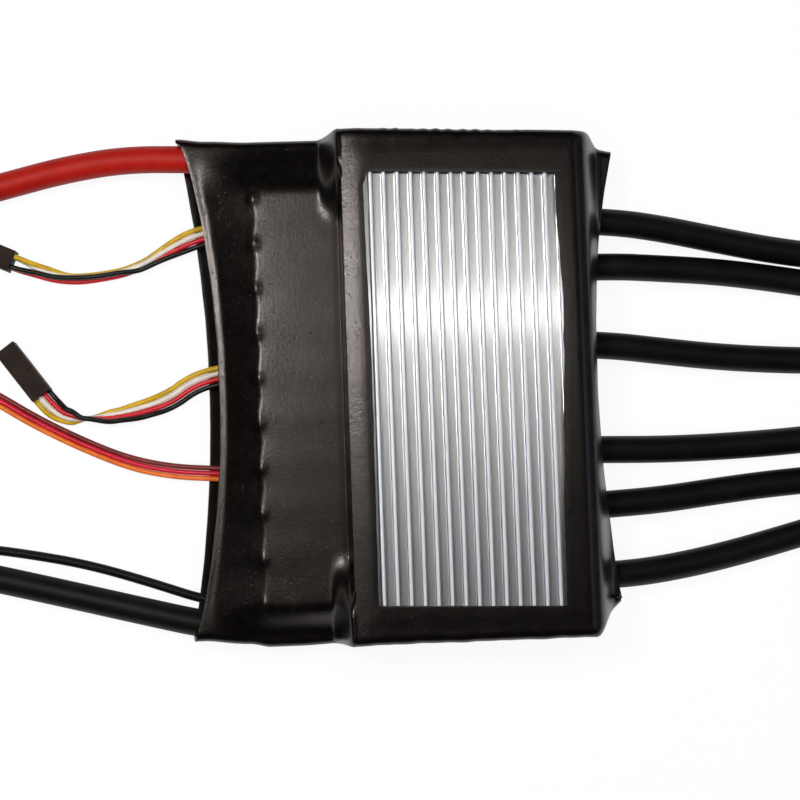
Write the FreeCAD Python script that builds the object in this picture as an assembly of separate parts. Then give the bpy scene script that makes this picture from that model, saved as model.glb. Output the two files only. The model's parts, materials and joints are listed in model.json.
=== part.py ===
import FreeCAD, Part
import math
import os

# Electronic speed controller for a large brushless motor, in millimetres.
# Frame: origin under the middle of the body, on the surface it stands on. +X towards the motor leads,
# +Y along the heatsink ribs, +Z up. Stack, from below: sleeve, insulating sheet, control board, power board,
# MOSFETs, thermal pad, heatsink. The capacitors lie at the left, beside the stack.

Vector = FreeCAD.Vector

# ---- Driving dimensions ----

# Heatsink
HEATSINK_CENTRE_X = 15.2
HEATSINK_WIDTH = 55.0
HEATSINK_LENGTH = 115.0
HEATSINK_BASE = 3.0
RIB_HEIGHT = 2.0
RIB_WIDTH = 0.85
RIB_PITCH = 3.06
RIB_EDGE_MARGIN = 3.0
RIB_END_CHAMFER = 1.2

# Sleeve: thin shrunk tube around everything, open at both ends
SLEEVE_WALL = 0.8
SLEEVE_SIDE_FIT = 0.3
SLEEVE_CORNER_RADIUS = 2.0
SLEEVE_LEFT_FLARE = 0.8
SLEEVE_LEFT_EDGE = -50.8
SLEEVE_RIGHT_EDGE = 50.8
LEFT_LIP_DEPTH = 5.6
LEFT_LIP_STEP = 2.9
RIGHT_LIP_DEPTH = 6.4
MOUTH_HEIGHT = 11.0
MOUTH_RISE = 0.2
RIGHT_MOUTH_HEIGHT = 13.0
RIGHT_EAR_PULL_IN = 5.7
SHOULDER_RUN = 1.6
SHOULDER_ROUND_RUN = 2.4
SHOULDER_DROP = 1.4
SHELF_SETBACK = 2.05
SHELF_SLOPE_RUN = 5.1
CAPACITOR_SLOPE_RUN = 5.0
RIGHT_SLOPE_RUN = 3.2

# Window cut in the sleeve over the ribs
WINDOW_WIDTH = 43.2
WINDOW_LENGTH = 98.0
WINDOW_CENTRE_X = 14.0
WINDOW_CENTRE_Y = -1.5
WINDOW_CORNER_RADIUS = 1.0

# Boards and sheets
BOARD_THICKNESS = 1.6
SHEET_THICKNESS = 0.6
SHEET_WIDTH = 76.0
SHEET_END_INSET = 4.5
SHEET_RIGHT_X = 34.0
THERMAL_PAD_THICKNESS = 0.6
THERMAL_PAD_MARGIN = 1.0
BOARD_SPACING = 7.4
POWER_BOARD_WIDTH = 50.0
POWER_BOARD_END_INSET = 1.0
CONTROL_TONGUE_WIDTH = 23.0
CONTROL_TONGUE_END_INSET = 9.0
CONTROL_BOARD_WIDTH = 41.0
CONTROL_BOARD_END_INSET = 1.5

# Power devices, in two columns on the power board
MOSFET_ROWS = 9
MOSFET_ROW_END_INSET = 6.2
MOSFET_GAP = 1.2
MOSFET_BODY_WIDTH = 9.0
MOSFET_HEIGHT = 4.4
MOSFET_TAB_REACH = 1.3
MOSFET_TAB_INSET = 0.6
MOSFET_TAB_THICKNESS = 1.3
MOSFET_LEAD_SPAN = 4.5
MOSFET_LEAD_SHOULDER = 1.6
MOSFET_LEAD_THICKNESS = 0.5
MOSFET_LEAD_WIDTH = 0.6
MOSFET_LEAD_PITCH = 1.27
MOSFET_LEAD_COUNT = 7
MOSFET_SOLDER_WIDTH = 1.3
HIGH_SIDE_X = -4.0
LOW_SIDE_X = 17.0

# Capacitors, lying with their leads to the right
CAPACITOR_COUNT = 10
CAPACITOR_GAP = 0.3
CAPACITOR_LENGTH = 20.0
CAPACITOR_ROW_END_INSET = 6.0
CAPACITOR_ROW_CENTRE_Y = -1.2
CAPACITOR_LEFT_X = -33.0
CAPACITOR_RIM_RADIUS = 0.5
CAPACITOR_GROOVE = 0.35
CAPACITOR_GROOVE_WIDTH = 0.8
CAPACITOR_GROOVE_SETBACK = 2.4
CAPACITOR_LEAD_RADIUS = 0.4
CAPACITOR_LEAD_SPACING = 5.0
CAPACITOR_STANDOFF = 0.4
CAPACITOR_BOARD_INSET = 0.5
SOLDER_RADIUS = 0.9
SOLDER_HEIGHT = 0.35
HOLE_CLEARANCE = 0.05
FOAM_THICKNESS = 1.5
FOAM_WIDTH = 12.0
FOAM_END_INSET = 9.5
FOAM_SETBACK = 1.0

# Copper bars
BUS_BAR_THICKNESS = 2.0
BUS_BAR_HEIGHT = 3.0
PHASE_BAR_THICKNESS = 1.2
PHASE_BAR_LENGTH = 22.0
PHASE_BAR_MARGIN = 5.0
BAR_TO_BOARD_GAP = 1.0
TAB_WALL = 0.8
LINK_WIDTH = 4.0
LINK_THICKNESS = 1.2
LINK_REACH = 3.0

# Heavy leads and small leads
LEAD_RADIUS = 3.2
LEAD_CORE_RADIUS = 2.1
LEAD_TIP_LENGTH = 8.0
SENSE_LEAD_RADIUS = 1.1
SENSE_CORE_RADIUS = 0.7
SENSE_TIP_LENGTH = 5.0
CONDUCTOR_RADIUS = 0.62
CONDUCTOR_PITCH = 1.3
SERVO_CONDUCTOR_RADIUS = 0.6
SERVO_CONDUCTOR_PITCH = 1.25

# Plugs on the small leads
PLUG_LENGTH = 14.0
PLUG_PIN_PITCH = 2.54
PLUG_SOCKET_SIZE = 1.0
PLUG_SOCKET_DEPTH = 5.0
CONTACT_WALL = 0.15
CONTACT_SETBACK = 0.5
LATCH_START = 4.0
LATCH_END = 6.6
LATCH_DEPTH = 0.4
SERVO_PLUG_THICKNESS = 2.5

# Receiver lead's coil
COIL_RADIUS = 18.0
COIL_BAND = 3.6
COIL_HEIGHT = 3.9
COIL_INLET_LENGTH = 12.0
COIL_TAIL_TURN = 100.0
COIL_TAIL_LENGTH = 15.0

# Small parts on the control board
STANDOFF_RADIUS = 2.5
STANDOFF_STUD_RADIUS = 1.25
SCREW_HEAD_RADIUS = 2.2
SCREW_HEAD_HEIGHT = 1.6
SCREW_SLOT_LENGTH = 2.6
SCREW_SLOT_WIDTH = 0.7
SCREW_DEPTH = 3.5
THREAD_DEPTH = 4.0
STANDOFF_SPAN_X = 28.0
STANDOFF_END_INSET = 3.8
STANDOFF_CENTRE_X = 16.0
HEADER_PIN_COUNT = 8
HEADER_PIN_PITCH = 2.54
HEADER_PIN_SIZE = 0.64
HEADER_BODY_HEIGHT = 2.5
HEADER_X = 11.5
HEADER_OFFSET_Y = 26.0
CHIP_STANDOFF = 0.1
CHIP_PIN_REACH = 0.9

# Chips on the control board: x, width, length, height, pins a side, and the places in lanes along y
MICROCONTROLLER = (3.5, 9.0, 9.0, 1.2, 8, [0.0])
GATE_DRIVERS = (19.0, 4.0, 5.0, 1.5, 4, [-34.0, -20.4, -6.8, 6.8, 20.4, 34.0])
VOLTAGE_REGULATOR = (2.0, 6.0, 6.6, 2.3, 2, [-46.0])
OPTO_ISOLATORS = (1.0, 6.4, 4.6, 3.0, 2, [16.0, 42.0])

# ---- Levels and edges worked out from them ----

sheet_z = SLEEVE_WALL
control_board_z = sheet_z + SHEET_THICKNESS
control_top_z = control_board_z + BOARD_THICKNESS
power_board_z = control_top_z + BOARD_SPACING
power_top_z = power_board_z + BOARD_THICKNESS
pad_z = power_top_z + MOSFET_HEIGHT
heatsink_z = pad_z + THERMAL_PAD_THICKNESS
heatsink_base_top_z = heatsink_z + HEATSINK_BASE
rib_top_z = heatsink_base_top_z + RIB_HEIGHT
body_top_z = rib_top_z + SLEEVE_WALL

heatsink_left_x = HEATSINK_CENTRE_X - HEATSINK_WIDTH / 2
heatsink_right_x = HEATSINK_CENTRE_X + HEATSINK_WIDTH / 2
sleeve_half_width = HEATSINK_LENGTH / 2 + SLEEVE_SIDE_FIT + SLEEVE_WALL

sheet_length = HEATSINK_LENGTH - 2 * SHEET_END_INSET
power_board_length = HEATSINK_LENGTH - 2 * POWER_BOARD_END_INSET
control_tongue_length = HEATSINK_LENGTH - 2 * CONTROL_TONGUE_END_INSET
control_board_length = HEATSINK_LENGTH - 2 * CONTROL_BOARD_END_INSET
mosfet_pitch = (HEATSINK_LENGTH - 2 * MOSFET_ROW_END_INSET) / MOSFET_ROWS
mosfet_body_length = mosfet_pitch - MOSFET_GAP
capacitor_pitch = (HEATSINK_LENGTH - 2 * CAPACITOR_ROW_END_INSET) / CAPACITOR_COUNT
capacitor_radius = (capacitor_pitch - CAPACITOR_GAP) / 2
foam_length = HEATSINK_LENGTH - 2 * FOAM_END_INSET
standoff_span_y = HEATSINK_LENGTH - 2 * STANDOFF_END_INSET

capacitor_z = control_top_z + FOAM_THICKNESS + capacitor_radius
capacitor_right_x = CAPACITOR_LEFT_X + CAPACITOR_LENGTH
capacitor_board_x = capacitor_right_x + CAPACITOR_STANDOFF
bus_bar_x = capacitor_board_x + BOARD_THICKNESS
bar_face_x = bus_bar_x + BUS_BAR_THICKNESS
power_board_x = bar_face_x + BAR_TO_BOARD_GAP
positive_lead_z = capacitor_z + CAPACITOR_LEAD_SPACING / 2
negative_lead_z = capacitor_z - CAPACITOR_LEAD_SPACING / 2
plateau_z = capacitor_z + capacitor_radius + SLEEVE_WALL
shelf_z = MOUTH_HEIGHT + MOUTH_RISE

phase_bar_z = power_board_z - PHASE_BAR_THICKNESS
core_z = phase_bar_z - LEAD_CORE_RADIUS
control_wide_x = power_board_x + BAR_TO_BOARD_GAP
control_tongue_x = control_wide_x - CONTROL_TONGUE_WIDTH
conductor_z = control_top_z + CONDUCTOR_RADIUS

# ---- Cord routes: points chosen by hand, from the solder joint outwards ----

# Places along the heatsink are given in lanes, which are its length shared out evenly.
LANE_COUNT = 115
lane = HEATSINK_LENGTH / LANE_COUNT


def spread(points):
    """A route whose y places are in lanes, turned into millimetres."""
    return [(x, y * lane, z) for x, y, z in points]


def beside(edge_y, points):
    """A route drawn from the sleeve's side inwards, set at that side."""
    return [(x, edge_y + y, z) for x, y, z in points]


MOTOR_ROUTES = [
    spread([(38.5, 38.0, core_z), (50, 37.5, core_z), (62, 35.8, 5.6), (75, 33.1, 3.9), (88, 30.3, 3.3),
            (101, 28.2, 3.2), (114, 27.0, 3.2)]),
    spread([(38.5, 26.8, core_z), (50, 26.9, core_z), (62, 26.2, 5.5), (75, 25.3, 4.0), (88, 23.5, 3.3),
            (101, 21.2, 3.2), (114, 18.7, 3.2)]),
    spread([(38.5, 8.9, core_z), (49, 8.3, core_z), (61, 6.7, 5.7), (74, 5.1, 4.0), (87, 4.0, 3.3),
            (100, 3.3, 3.2), (113, 3.0, 3.2)]),
    spread([(38.5, -15.9, core_z), (49, -16.2, core_z), (61, -16.5, 5.6), (74, -16.3, 3.9), (87, -15.8, 3.3),
            (100, -14.9, 3.2), (113, -13.6, 3.2)]),
    spread([(38.5, -29.3, core_z), (49, -28.9, core_z), (61, -28.2, 5.6), (74, -26.7, 4.0), (87, -25.4, 3.3),
            (100, -24.6, 3.2), (113, -24.4, 3.2)]),
    spread([(38.5, -45.6, core_z), (50, -45.4, core_z), (62, -44.2, 5.6), (75, -41.9, 3.9), (88, -38.8, 3.3),
            (101, -35.4, 3.2), (114, -33.2, 3.2)]),
]
POSITIVE_ROUTE = beside(sleeve_half_width, [
    (-18, -4.7, 7.2), (-33, -4.7, 7.2), (-48, -3.7, 7.0), (-63, -3.0, 5.2), (-77, -4.7, 3.7),
    (-91, -8.0, 3.2), (-105, -11.6, 3.2), (-118, -14.0, 3.2)])
NEGATIVE_ROUTE = beside(-sleeve_half_width, [
    (-18, 4.0, 4.9), (-32, 4.0, 4.9), (-46, 4.8, 5.1), (-60, 8.3, 4.5), (-74, 11.9, 3.6), (-88, 15.5, 3.2),
    (-102, 19.0, 3.2), (-115, 21.5, 3.2)])
SENSE_ROUTE = beside(-sleeve_half_width, [
    (-18, 8.4, 2.7), (-32, 8.4, 2.7), (-46, 10.2, 3.4), (-60, 15.2, 2.3), (-74, 19.7, 1.3), (-88, 22.7, 1.1),
    (-101, 24.8, 1.1), (-113, 27.4, 1.1)])
DATA_A_ROUTE = spread([
    (-28, 38.5, conductor_z), (-37, 38.2, 3.7), (-46, 37.4, 3.5), (-54, 34.0, 2.7), (-61, 30.3, 1.5),
    (-69, 28.8, 0.9), (-77, 28.3, 1.1), (-84, 29.9, 2.3), (-90, 32.6, 2.3)])
DATA_B_ROUTE = spread([
    (-28, 5.0, conductor_z), (-36, 4.8, 3.7), (-43, 4.3, 3.6), (-49, 2.5, 3.1), (-54, -1.0, 2.3),
    (-61, -3.2, 1.4), (-68.5, -4.6, 0.9), (-75.5, -4.8, 1.1), (-80.9, -3.1, 2.3), (-83.9, 1.0, 2.3)])
SERVO_ROUTE = spread([
    (-28, -19.2, conductor_z), (-36, -19.0, 3.6), (-44, -18.6, 3.3), (-54, -17.8, 1.9), (-64, -15.5, 0.9),
    (-75, -10.7, 0.7), (-86, -4.9, 0.7), (-95, 0.9, 0.7), (-103.5, 5.2, 0.7)])

DATA_COLOURS = ["yellow", "white", "red", "black"]
SERVO_COLOURS = ["brown", "red", "orange"]

nodes = {}


# ---- Helpers ----

def block(x0, x1, y0, y1, z0, z1):
    return Part.makeBox(x1 - x0, y1 - y0, z1 - z0, Vector(x0, y0, z0))


def centred_block(x, y, z0, width, length, height):
    return block(x - width / 2, x + width / 2, y - length / 2, y + length / 2, z0, z0 + height)


def upright_cylinder(x, y, z0, radius, height):
    return Part.makeCylinder(radius, height, Vector(x, y, z0), Vector(0, 0, 1))


def level_cylinder(x0, x1, y, z, radius):
    return Part.makeCylinder(radius, x1 - x0, Vector(x0, y, z), Vector(1, 0, 0))


def fused(shapes):
    return shapes[0].multiFuse(shapes[1:]).removeSplitter()


def group(shapes):
    return Part.makeCompound(shapes)


def rounded_section(x, half_width, z0, z1, radius):
    """Closed wire in the plane of constant x: a rectangle with four round corners."""
    slant = radius * (1 - math.sqrt(0.5))
    y = half_width
    corners = [(y, z0, -1, 1), (y, z1, -1, -1), (-y, z1, 1, -1), (-y, z0, 1, 1)]
    edges = []
    previous_end = None
    first_start = None
    for index, (cy, cz, inward_y, inward_z) in enumerate(corners):
        on_flat = Vector(x, cy + inward_y * radius, cz)
        on_side = Vector(x, cy, cz + inward_z * radius)
        middle = Vector(x, cy + inward_y * slant, cz + inward_z * slant)
        start, end = (on_flat, on_side) if index % 2 == 0 else (on_side, on_flat)
        if previous_end is None:
            first_start = start
        else:
            edges.append(Part.LineSegment(previous_end, start).toShape())
        edges.append(Part.Arc(start, middle, end).toShape())
        previous_end = end
    edges.append(Part.LineSegment(previous_end, first_start).toShape())
    return Part.Wire(edges)


def loft(stations):
    sections = [rounded_section(*station) for station in stations]
    return Part.makeLoft(sections, True, True)


def route_vectors(points):
    return [Vector(*point) for point in points]


def rounded_path(points, name):
    """Straight runs joined by tangent arcs. Prints each arc's radius."""
    ends = route_vectors(points)
    edges = []
    radii = []
    start = ends[0]
    for before, corner, after in zip(ends, ends[1:], ends[2:]):
        incoming = corner - before
        outgoing = after - corner
        half_turn = incoming.getAngle(outgoing) / 2
        setback = 0.45 * min(incoming.Length, outgoing.Length)
        radii.append(setback / math.tan(half_turn))
        arc_start = corner - incoming.normalize() * setback
        arc_end = corner + outgoing.normalize() * setback
        bisector = (arc_start + arc_end) * 0.5 - corner
        middle = corner + bisector.normalize() * (radii[-1] * (1 / math.cos(half_turn) - 1))
        if (arc_start - start).Length > 1e-6:
            edges.append(Part.LineSegment(start, arc_start).toShape())
        edges.append(Part.Arc(arc_start, middle, arc_end).toShape())
        start = arc_end
    edges.append(Part.LineSegment(start, ends[-1]).toShape())
    print(name, "bend radii", [round(radius, 1) for radius in radii])
    return Part.Wire(edges)


def tube(points, radius, name):
    path = rounded_path(points, name)
    along = Vector(*points[1]) - Vector(*points[0])
    circle = Part.Wire(Part.Circle(Vector(*points[0]), along, radius).toShape())
    solid = path.makePipeShell([circle], True, False)
    expected = math.pi * radius ** 2 * path.Length
    print(name, "length", round(path.Length, 1), "volume ratio", round(solid.Volume / expected, 4))
    return solid


def end_cylinder(points, radius, length):
    """Round bar that carries on from the last point of a route, in line with its last run."""
    last = Vector(*points[-1])
    along = (last - Vector(*points[-2])).normalize()
    return Part.makeCylinder(radius, length, last, along)


def side_by_side(points, offset):
    """The route moved sideways, in plan, by offset to the left of its direction of travel."""
    moved = []
    count = len(points)
    for index in range(count):
        here = Vector(*points[index])
        before = Vector(*points[max(index - 1, 0)])
        after = Vector(*points[min(index + 1, count - 1)])
        incoming = here - before if index > 0 else after - here
        outgoing = after - here if index < count - 1 else here - before
        incoming.z = 0
        outgoing.z = 0
        incoming.normalize()
        outgoing.normalize()
        left = Vector(-incoming.y - outgoing.y, incoming.x + outgoing.x, 0)
        left.normalize()
        mitre = 1 / max(math.cos(incoming.getAngle(outgoing) / 2), 0.5)
        place = here + left * (offset * mitre)
        moved.append((place.x, place.y, place.z))
    return moved


def plan_frame(origin, direction):
    """Placement whose local X axis runs along a level direction."""
    angle = math.degrees(math.atan2(direction.y, direction.x))
    return FreeCAD.Placement(origin, FreeCAD.Rotation(Vector(0, 0, 1), angle))


# ---- Heatsink ----

def make_heatsink():
    half_length = HEATSINK_LENGTH / 2
    base_top_z = heatsink_base_top_z
    shapes = [block(heatsink_left_x, heatsink_right_x, -half_length, half_length, heatsink_z, base_top_z)]
    rib_count = int((HEATSINK_WIDTH - 2 * RIB_EDGE_MARGIN) / RIB_PITCH + 0.001) + 1
    first_rib_x = HEATSINK_CENTRE_X - (rib_count - 1) * RIB_PITCH / 2
    chamfer = min(RIB_END_CHAMFER, 0.8 * RIB_HEIGHT)
    outline = [
        (half_length, base_top_z), (half_length, rib_top_z - chamfer), (half_length - chamfer, rib_top_z),
        (chamfer - half_length, rib_top_z), (-half_length, rib_top_z - chamfer), (-half_length, base_top_z),
    ]
    for index in range(rib_count):
        x0 = first_rib_x + index * RIB_PITCH - RIB_WIDTH / 2
        corners = [Vector(x0, y, z) for y, z in outline]
        face = Part.Face(Part.makePolygon(corners + corners[:1]))
        shapes.append(face.extrude(Vector(RIB_WIDTH, 0, 0)))
    nodes["heatsink"] = fused(shapes)


# ---- Sleeve ----

def lip_cutter(edge_x, middle_x, outward, slope):
    """Everything beyond a concave lip: an arc through both ears and the middle, extruded upwards."""
    ear_y = sleeve_half_width
    beyond = edge_x + outward * 20
    reach = sleeve_half_width + 5
    below = Vector(0, 0, -1)
    ear_a = Vector(edge_x, ear_y, 0) + below
    ear_b = Vector(edge_x, -ear_y, 0) + below
    middle = Vector(middle_x, 0, 0) + below
    wall = [
        Part.Arc(ear_a, middle, ear_b).toShape(),
        Part.LineSegment(ear_b, Vector(edge_x, -reach, -1)).toShape(),
        Part.LineSegment(Vector(edge_x, -reach, -1), Vector(beyond, -reach, -1)).toShape(),
        Part.LineSegment(Vector(beyond, -reach, -1), Vector(beyond, reach, -1)).toShape(),
        Part.LineSegment(Vector(beyond, reach, -1), Vector(edge_x, reach, -1)).toShape(),
        Part.LineSegment(Vector(edge_x, reach, -1), ear_a).toShape(),
    ]
    height = body_top_z + 2
    return Part.Face(Part.Wire(wall)).extrude(Vector(slope * height, 0, height))


def sleeve_stations(inset):
    """Sections of the sleeve from left to right. inset is 0 outside, and the wall's thickness inside."""
    radius = SLEEVE_CORNER_RADIUS - inset
    half = sleeve_half_width - inset
    shoulder_x = heatsink_left_x - SLEEVE_WALL + inset
    right_x = heatsink_right_x + SLEEVE_WALL - inset
    ear_half = half - RIGHT_EAR_PULL_IN
    overrun = 2.0
    slope_start_x = CAPACITOR_LEFT_X - SLEEVE_WALL
    profile = [
        (SLEEVE_LEFT_EDGE - overrun, half + SLEEVE_LEFT_FLARE, MOUTH_HEIGHT),
        (slope_start_x - CAPACITOR_SLOPE_RUN, half, shelf_z),
        (slope_start_x, half, plateau_z),
        (shoulder_x - SHOULDER_RUN, half, plateau_z),
        (shoulder_x, half, body_top_z - SHOULDER_DROP),
        (shoulder_x + SHOULDER_ROUND_RUN, half, body_top_z),
        (right_x - SHOULDER_ROUND_RUN, half, body_top_z),
        (right_x, half, body_top_z - SHOULDER_DROP),
        (right_x + RIGHT_SLOPE_RUN, (half + ear_half) / 2 - 1, RIGHT_MOUTH_HEIGHT + 1.5),
        (SLEEVE_RIGHT_EDGE + overrun, ear_half, RIGHT_MOUTH_HEIGHT),
    ]
    return [(x, half_width, inset, top - inset, radius) for x, half_width, top in profile]


def shelf_cutter(side, inset):
    """Everything above the shelf over a battery lead, where the sleeve falls from the end capacitor."""
    fall = math.atan2(plateau_z - shelf_z, SHELF_SLOPE_RUN)
    rows = capacitor_rows()
    end_row_y = rows[-1] if side > 0 else -rows[0]
    slope_y = end_row_y + SHELF_SETBACK - inset * math.tan(fall / 2)
    half = sleeve_half_width - inset
    radius = SLEEVE_CORNER_RADIUS - inset
    low_z = shelf_z - inset
    slant = radius * (1 - math.sqrt(0.5))
    reach_y = half + 5
    reach_z = body_top_z + 2
    x = CAPACITOR_LEFT_X - SLEEVE_WALL - CAPACITOR_SLOPE_RUN

    def at(y, z):
        return Vector(x, side * y, z)

    round_start = at(half - radius, low_z)
    round_end = at(half, low_z - radius)
    outline = [
        Part.LineSegment(at(slope_y, reach_z), at(slope_y, plateau_z - inset)).toShape(),
        Part.LineSegment(at(slope_y, plateau_z - inset), at(slope_y + SHELF_SLOPE_RUN, low_z)).toShape(),
        Part.LineSegment(at(slope_y + SHELF_SLOPE_RUN, low_z), round_start).toShape(),
        Part.Arc(round_start, at(half - slant, low_z - slant), round_end).toShape(),
        Part.LineSegment(round_end, at(reach_y, low_z - radius)).toShape(),
        Part.LineSegment(at(reach_y, low_z - radius), at(reach_y, reach_z)).toShape(),
        Part.LineSegment(at(reach_y, reach_z), at(slope_y, reach_z)).toShape(),
    ]
    end_x = heatsink_left_x - SLEEVE_WALL + inset - SHOULDER_RUN
    return Part.Face(Part.Wire(outline)).extrude(Vector(end_x - x, 0, 0))


def make_sleeve():
    outside = loft(sleeve_stations(0))
    inside = loft(sleeve_stations(SLEEVE_WALL))
    for side in (-1, 1):
        outside = outside.cut(shelf_cutter(side, 0))
        inside = inside.cut(shelf_cutter(side, SLEEVE_WALL))
    shell = outside.cut(inside)
    left_slope = LEFT_LIP_STEP / MOUTH_HEIGHT
    left_middle = SLEEVE_LEFT_EDGE + LEFT_LIP_DEPTH
    shell = shell.cut(lip_cutter(SLEEVE_LEFT_EDGE, left_middle, -1, left_slope))
    right_middle = SLEEVE_RIGHT_EDGE - RIGHT_LIP_DEPTH
    shell = shell.cut(lip_cutter(SLEEVE_RIGHT_EDGE, right_middle, 1, 0))
    window = centred_block(WINDOW_CENTRE_X, WINDOW_CENTRE_Y, rib_top_z - 0.2, WINDOW_WIDTH, WINDOW_LENGTH, 3)
    upright = [edge for edge in window.Edges if abs(edge.tangentAt(edge.FirstParameter).z) > 0.9]
    shell = shell.cut(window.makeFillet(WINDOW_CORNER_RADIUS, upright))
    nodes["heat_shrink_sleeve"] = shell


# ---- Boards, sheets and the parts on them ----

def standoff_places():
    for x in (STANDOFF_CENTRE_X - STANDOFF_SPAN_X / 2, STANDOFF_CENTRE_X + STANDOFF_SPAN_X / 2):
        for y in (-standoff_span_y / 2, standoff_span_y / 2):
            yield x, y


def header_pins():
    for side in (-1, 1):
        for index in range(HEADER_PIN_COUNT):
            yield side * HEADER_OFFSET_Y + (index - (HEADER_PIN_COUNT - 1) / 2) * HEADER_PIN_PITCH


def make_boards():
    stud_hole = STANDOFF_STUD_RADIUS + HOLE_CLEARANCE
    tongue = block(control_tongue_x, control_wide_x, -control_tongue_length / 2, control_tongue_length / 2,
                   control_board_z, control_top_z)
    wide = block(control_wide_x, control_wide_x + CONTROL_BOARD_WIDTH, -control_board_length / 2,
                 control_board_length / 2, control_board_z, control_top_z)
    control = fused([tongue, wide])
    power = block(power_board_x, power_board_x + POWER_BOARD_WIDTH, -power_board_length / 2,
                  power_board_length / 2, power_board_z, power_top_z)
    for x, y in standoff_places():
        control = control.cut(upright_cylinder(x, y, 0, stud_hole, power_board_z))
        power = power.cut(upright_cylinder(x, y, power_board_z - 1, stud_hole, 4))
    nodes["control_board"] = control
    nodes["power_board"] = power
    sheet_x = SHEET_RIGHT_X - SHEET_WIDTH / 2
    nodes["insulating_sheet"] = centred_block(sheet_x, 0, sheet_z, SHEET_WIDTH, sheet_length, SHEET_THICKNESS)
    pad_left = HIGH_SIDE_X - THERMAL_PAD_MARGIN
    pad_right = LOW_SIDE_X + MOSFET_BODY_WIDTH + THERMAL_PAD_MARGIN
    pad_half = ((MOSFET_ROWS - 1) * mosfet_pitch + mosfet_body_length) / 2 + THERMAL_PAD_MARGIN
    nodes["thermal_pad"] = block(pad_left, pad_right, -pad_half, pad_half, pad_z, heatsink_z)


def make_fixings():
    standoffs = []
    screws = []
    for x, y in standoff_places():
        barrel = upright_cylinder(x, y, control_top_z, STANDOFF_RADIUS, BOARD_SPACING)
        lower_stud = upright_cylinder(x, y, control_board_z, STANDOFF_STUD_RADIUS, BOARD_THICKNESS)
        thread = upright_cylinder(x, y, power_board_z - THREAD_DEPTH, STANDOFF_STUD_RADIUS, THREAD_DEPTH)
        standoffs.append(fused([barrel, lower_stud]).cut(thread))
        shank = upright_cylinder(x, y, power_board_z - SCREW_DEPTH, STANDOFF_STUD_RADIUS,
                                 BOARD_THICKNESS + SCREW_DEPTH)
        head = upright_cylinder(x, y, power_top_z, SCREW_HEAD_RADIUS, SCREW_HEAD_HEIGHT)
        slot_z = power_top_z + SCREW_HEAD_HEIGHT / 2
        slots = [centred_block(x, y, slot_z, SCREW_SLOT_LENGTH, SCREW_SLOT_WIDTH, SCREW_HEAD_HEIGHT),
                 centred_block(x, y, slot_z, SCREW_SLOT_WIDTH, SCREW_SLOT_LENGTH, SCREW_HEAD_HEIGHT)]
        screws.append(fused([shank, head]).cut(fused(slots)))
    nodes["standoffs"] = group(standoffs)
    nodes["board_screws"] = group(screws)


def mosfet(x, y):
    """Moulded body with a metal tab at its left edge, which lies on the board."""
    body = centred_block(x + MOSFET_BODY_WIDTH / 2, y, power_top_z, MOSFET_BODY_WIDTH, mosfet_body_length,
                         MOSFET_HEIGHT)
    tab_length = mosfet_body_length - 2 * MOSFET_TAB_INSET
    tab = centred_block(x - MOSFET_TAB_REACH / 2, y, power_top_z, MOSFET_TAB_REACH, tab_length,
                        MOSFET_TAB_THICKNESS)
    return fused([body, tab])


def mosfet_leads(x, y):
    """Comb of flat leads from the body's right side down to the board, joined by their solder."""
    x0 = x + MOSFET_BODY_WIDTH
    x1 = x0 + MOSFET_LEAD_SHOULDER
    x2 = x0 + MOSFET_LEAD_SPAN
    thickness = MOSFET_LEAD_THICKNESS
    shoulder_z = power_top_z + MOSFET_HEIGHT / 2
    foot_z = power_top_z + thickness
    parts = []
    for index in range(MOSFET_LEAD_COUNT):
        y0 = y + (index - (MOSFET_LEAD_COUNT - 1) / 2) * MOSFET_LEAD_PITCH - MOSFET_LEAD_WIDTH / 2
        y1 = y0 + MOSFET_LEAD_WIDTH
        parts.append(block(x0, x1, y0, y1, shoulder_z, shoulder_z + thickness))
        parts.append(block(x1 - thickness, x1, y0, y1, power_top_z, shoulder_z + thickness))
        parts.append(block(x1 - thickness, x2, y0, y1, power_top_z, foot_z))
    comb = (MOSFET_LEAD_COUNT - 1) * MOSFET_LEAD_PITCH
    solder_x = x2 - MOSFET_SOLDER_WIDTH / 2
    solder = centred_block(solder_x, y, power_top_z, MOSFET_SOLDER_WIDTH, comb, thickness)
    return fused(parts + [solder])


def make_mosfets():
    rows = [(index - (MOSFET_ROWS - 1) / 2) * mosfet_pitch for index in range(MOSFET_ROWS)]
    places = [(x, y) for x in (HIGH_SIDE_X, LOW_SIDE_X) for y in rows]
    nodes["mosfets"] = group([mosfet(x, y) for x, y in places])
    nodes["mosfet_leads"] = group([mosfet_leads(x, y) for x, y in places])


def chips(description):
    """Flat packages with short pins on two sides, each fused with its pins as one soldered component."""
    x, width, length, height, pins_per_side, places = description
    pitch = length / (pins_per_side + 1)
    packages = []
    for place in places:
        y = place * lane
        parts = [centred_block(x, y, control_top_z + CHIP_STANDOFF, width, length, height)]
        for side in (-1, 1):
            for index in range(pins_per_side):
                pin_y = y - length / 2 + pitch * (index + 1)
                pin_x = x + side * width / 2
                parts.append(centred_block(pin_x, pin_y, control_top_z, 2 * CHIP_PIN_REACH, pitch * 0.4,
                                           height / 2))
        packages.append(fused(parts))
    return group(packages)


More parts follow.
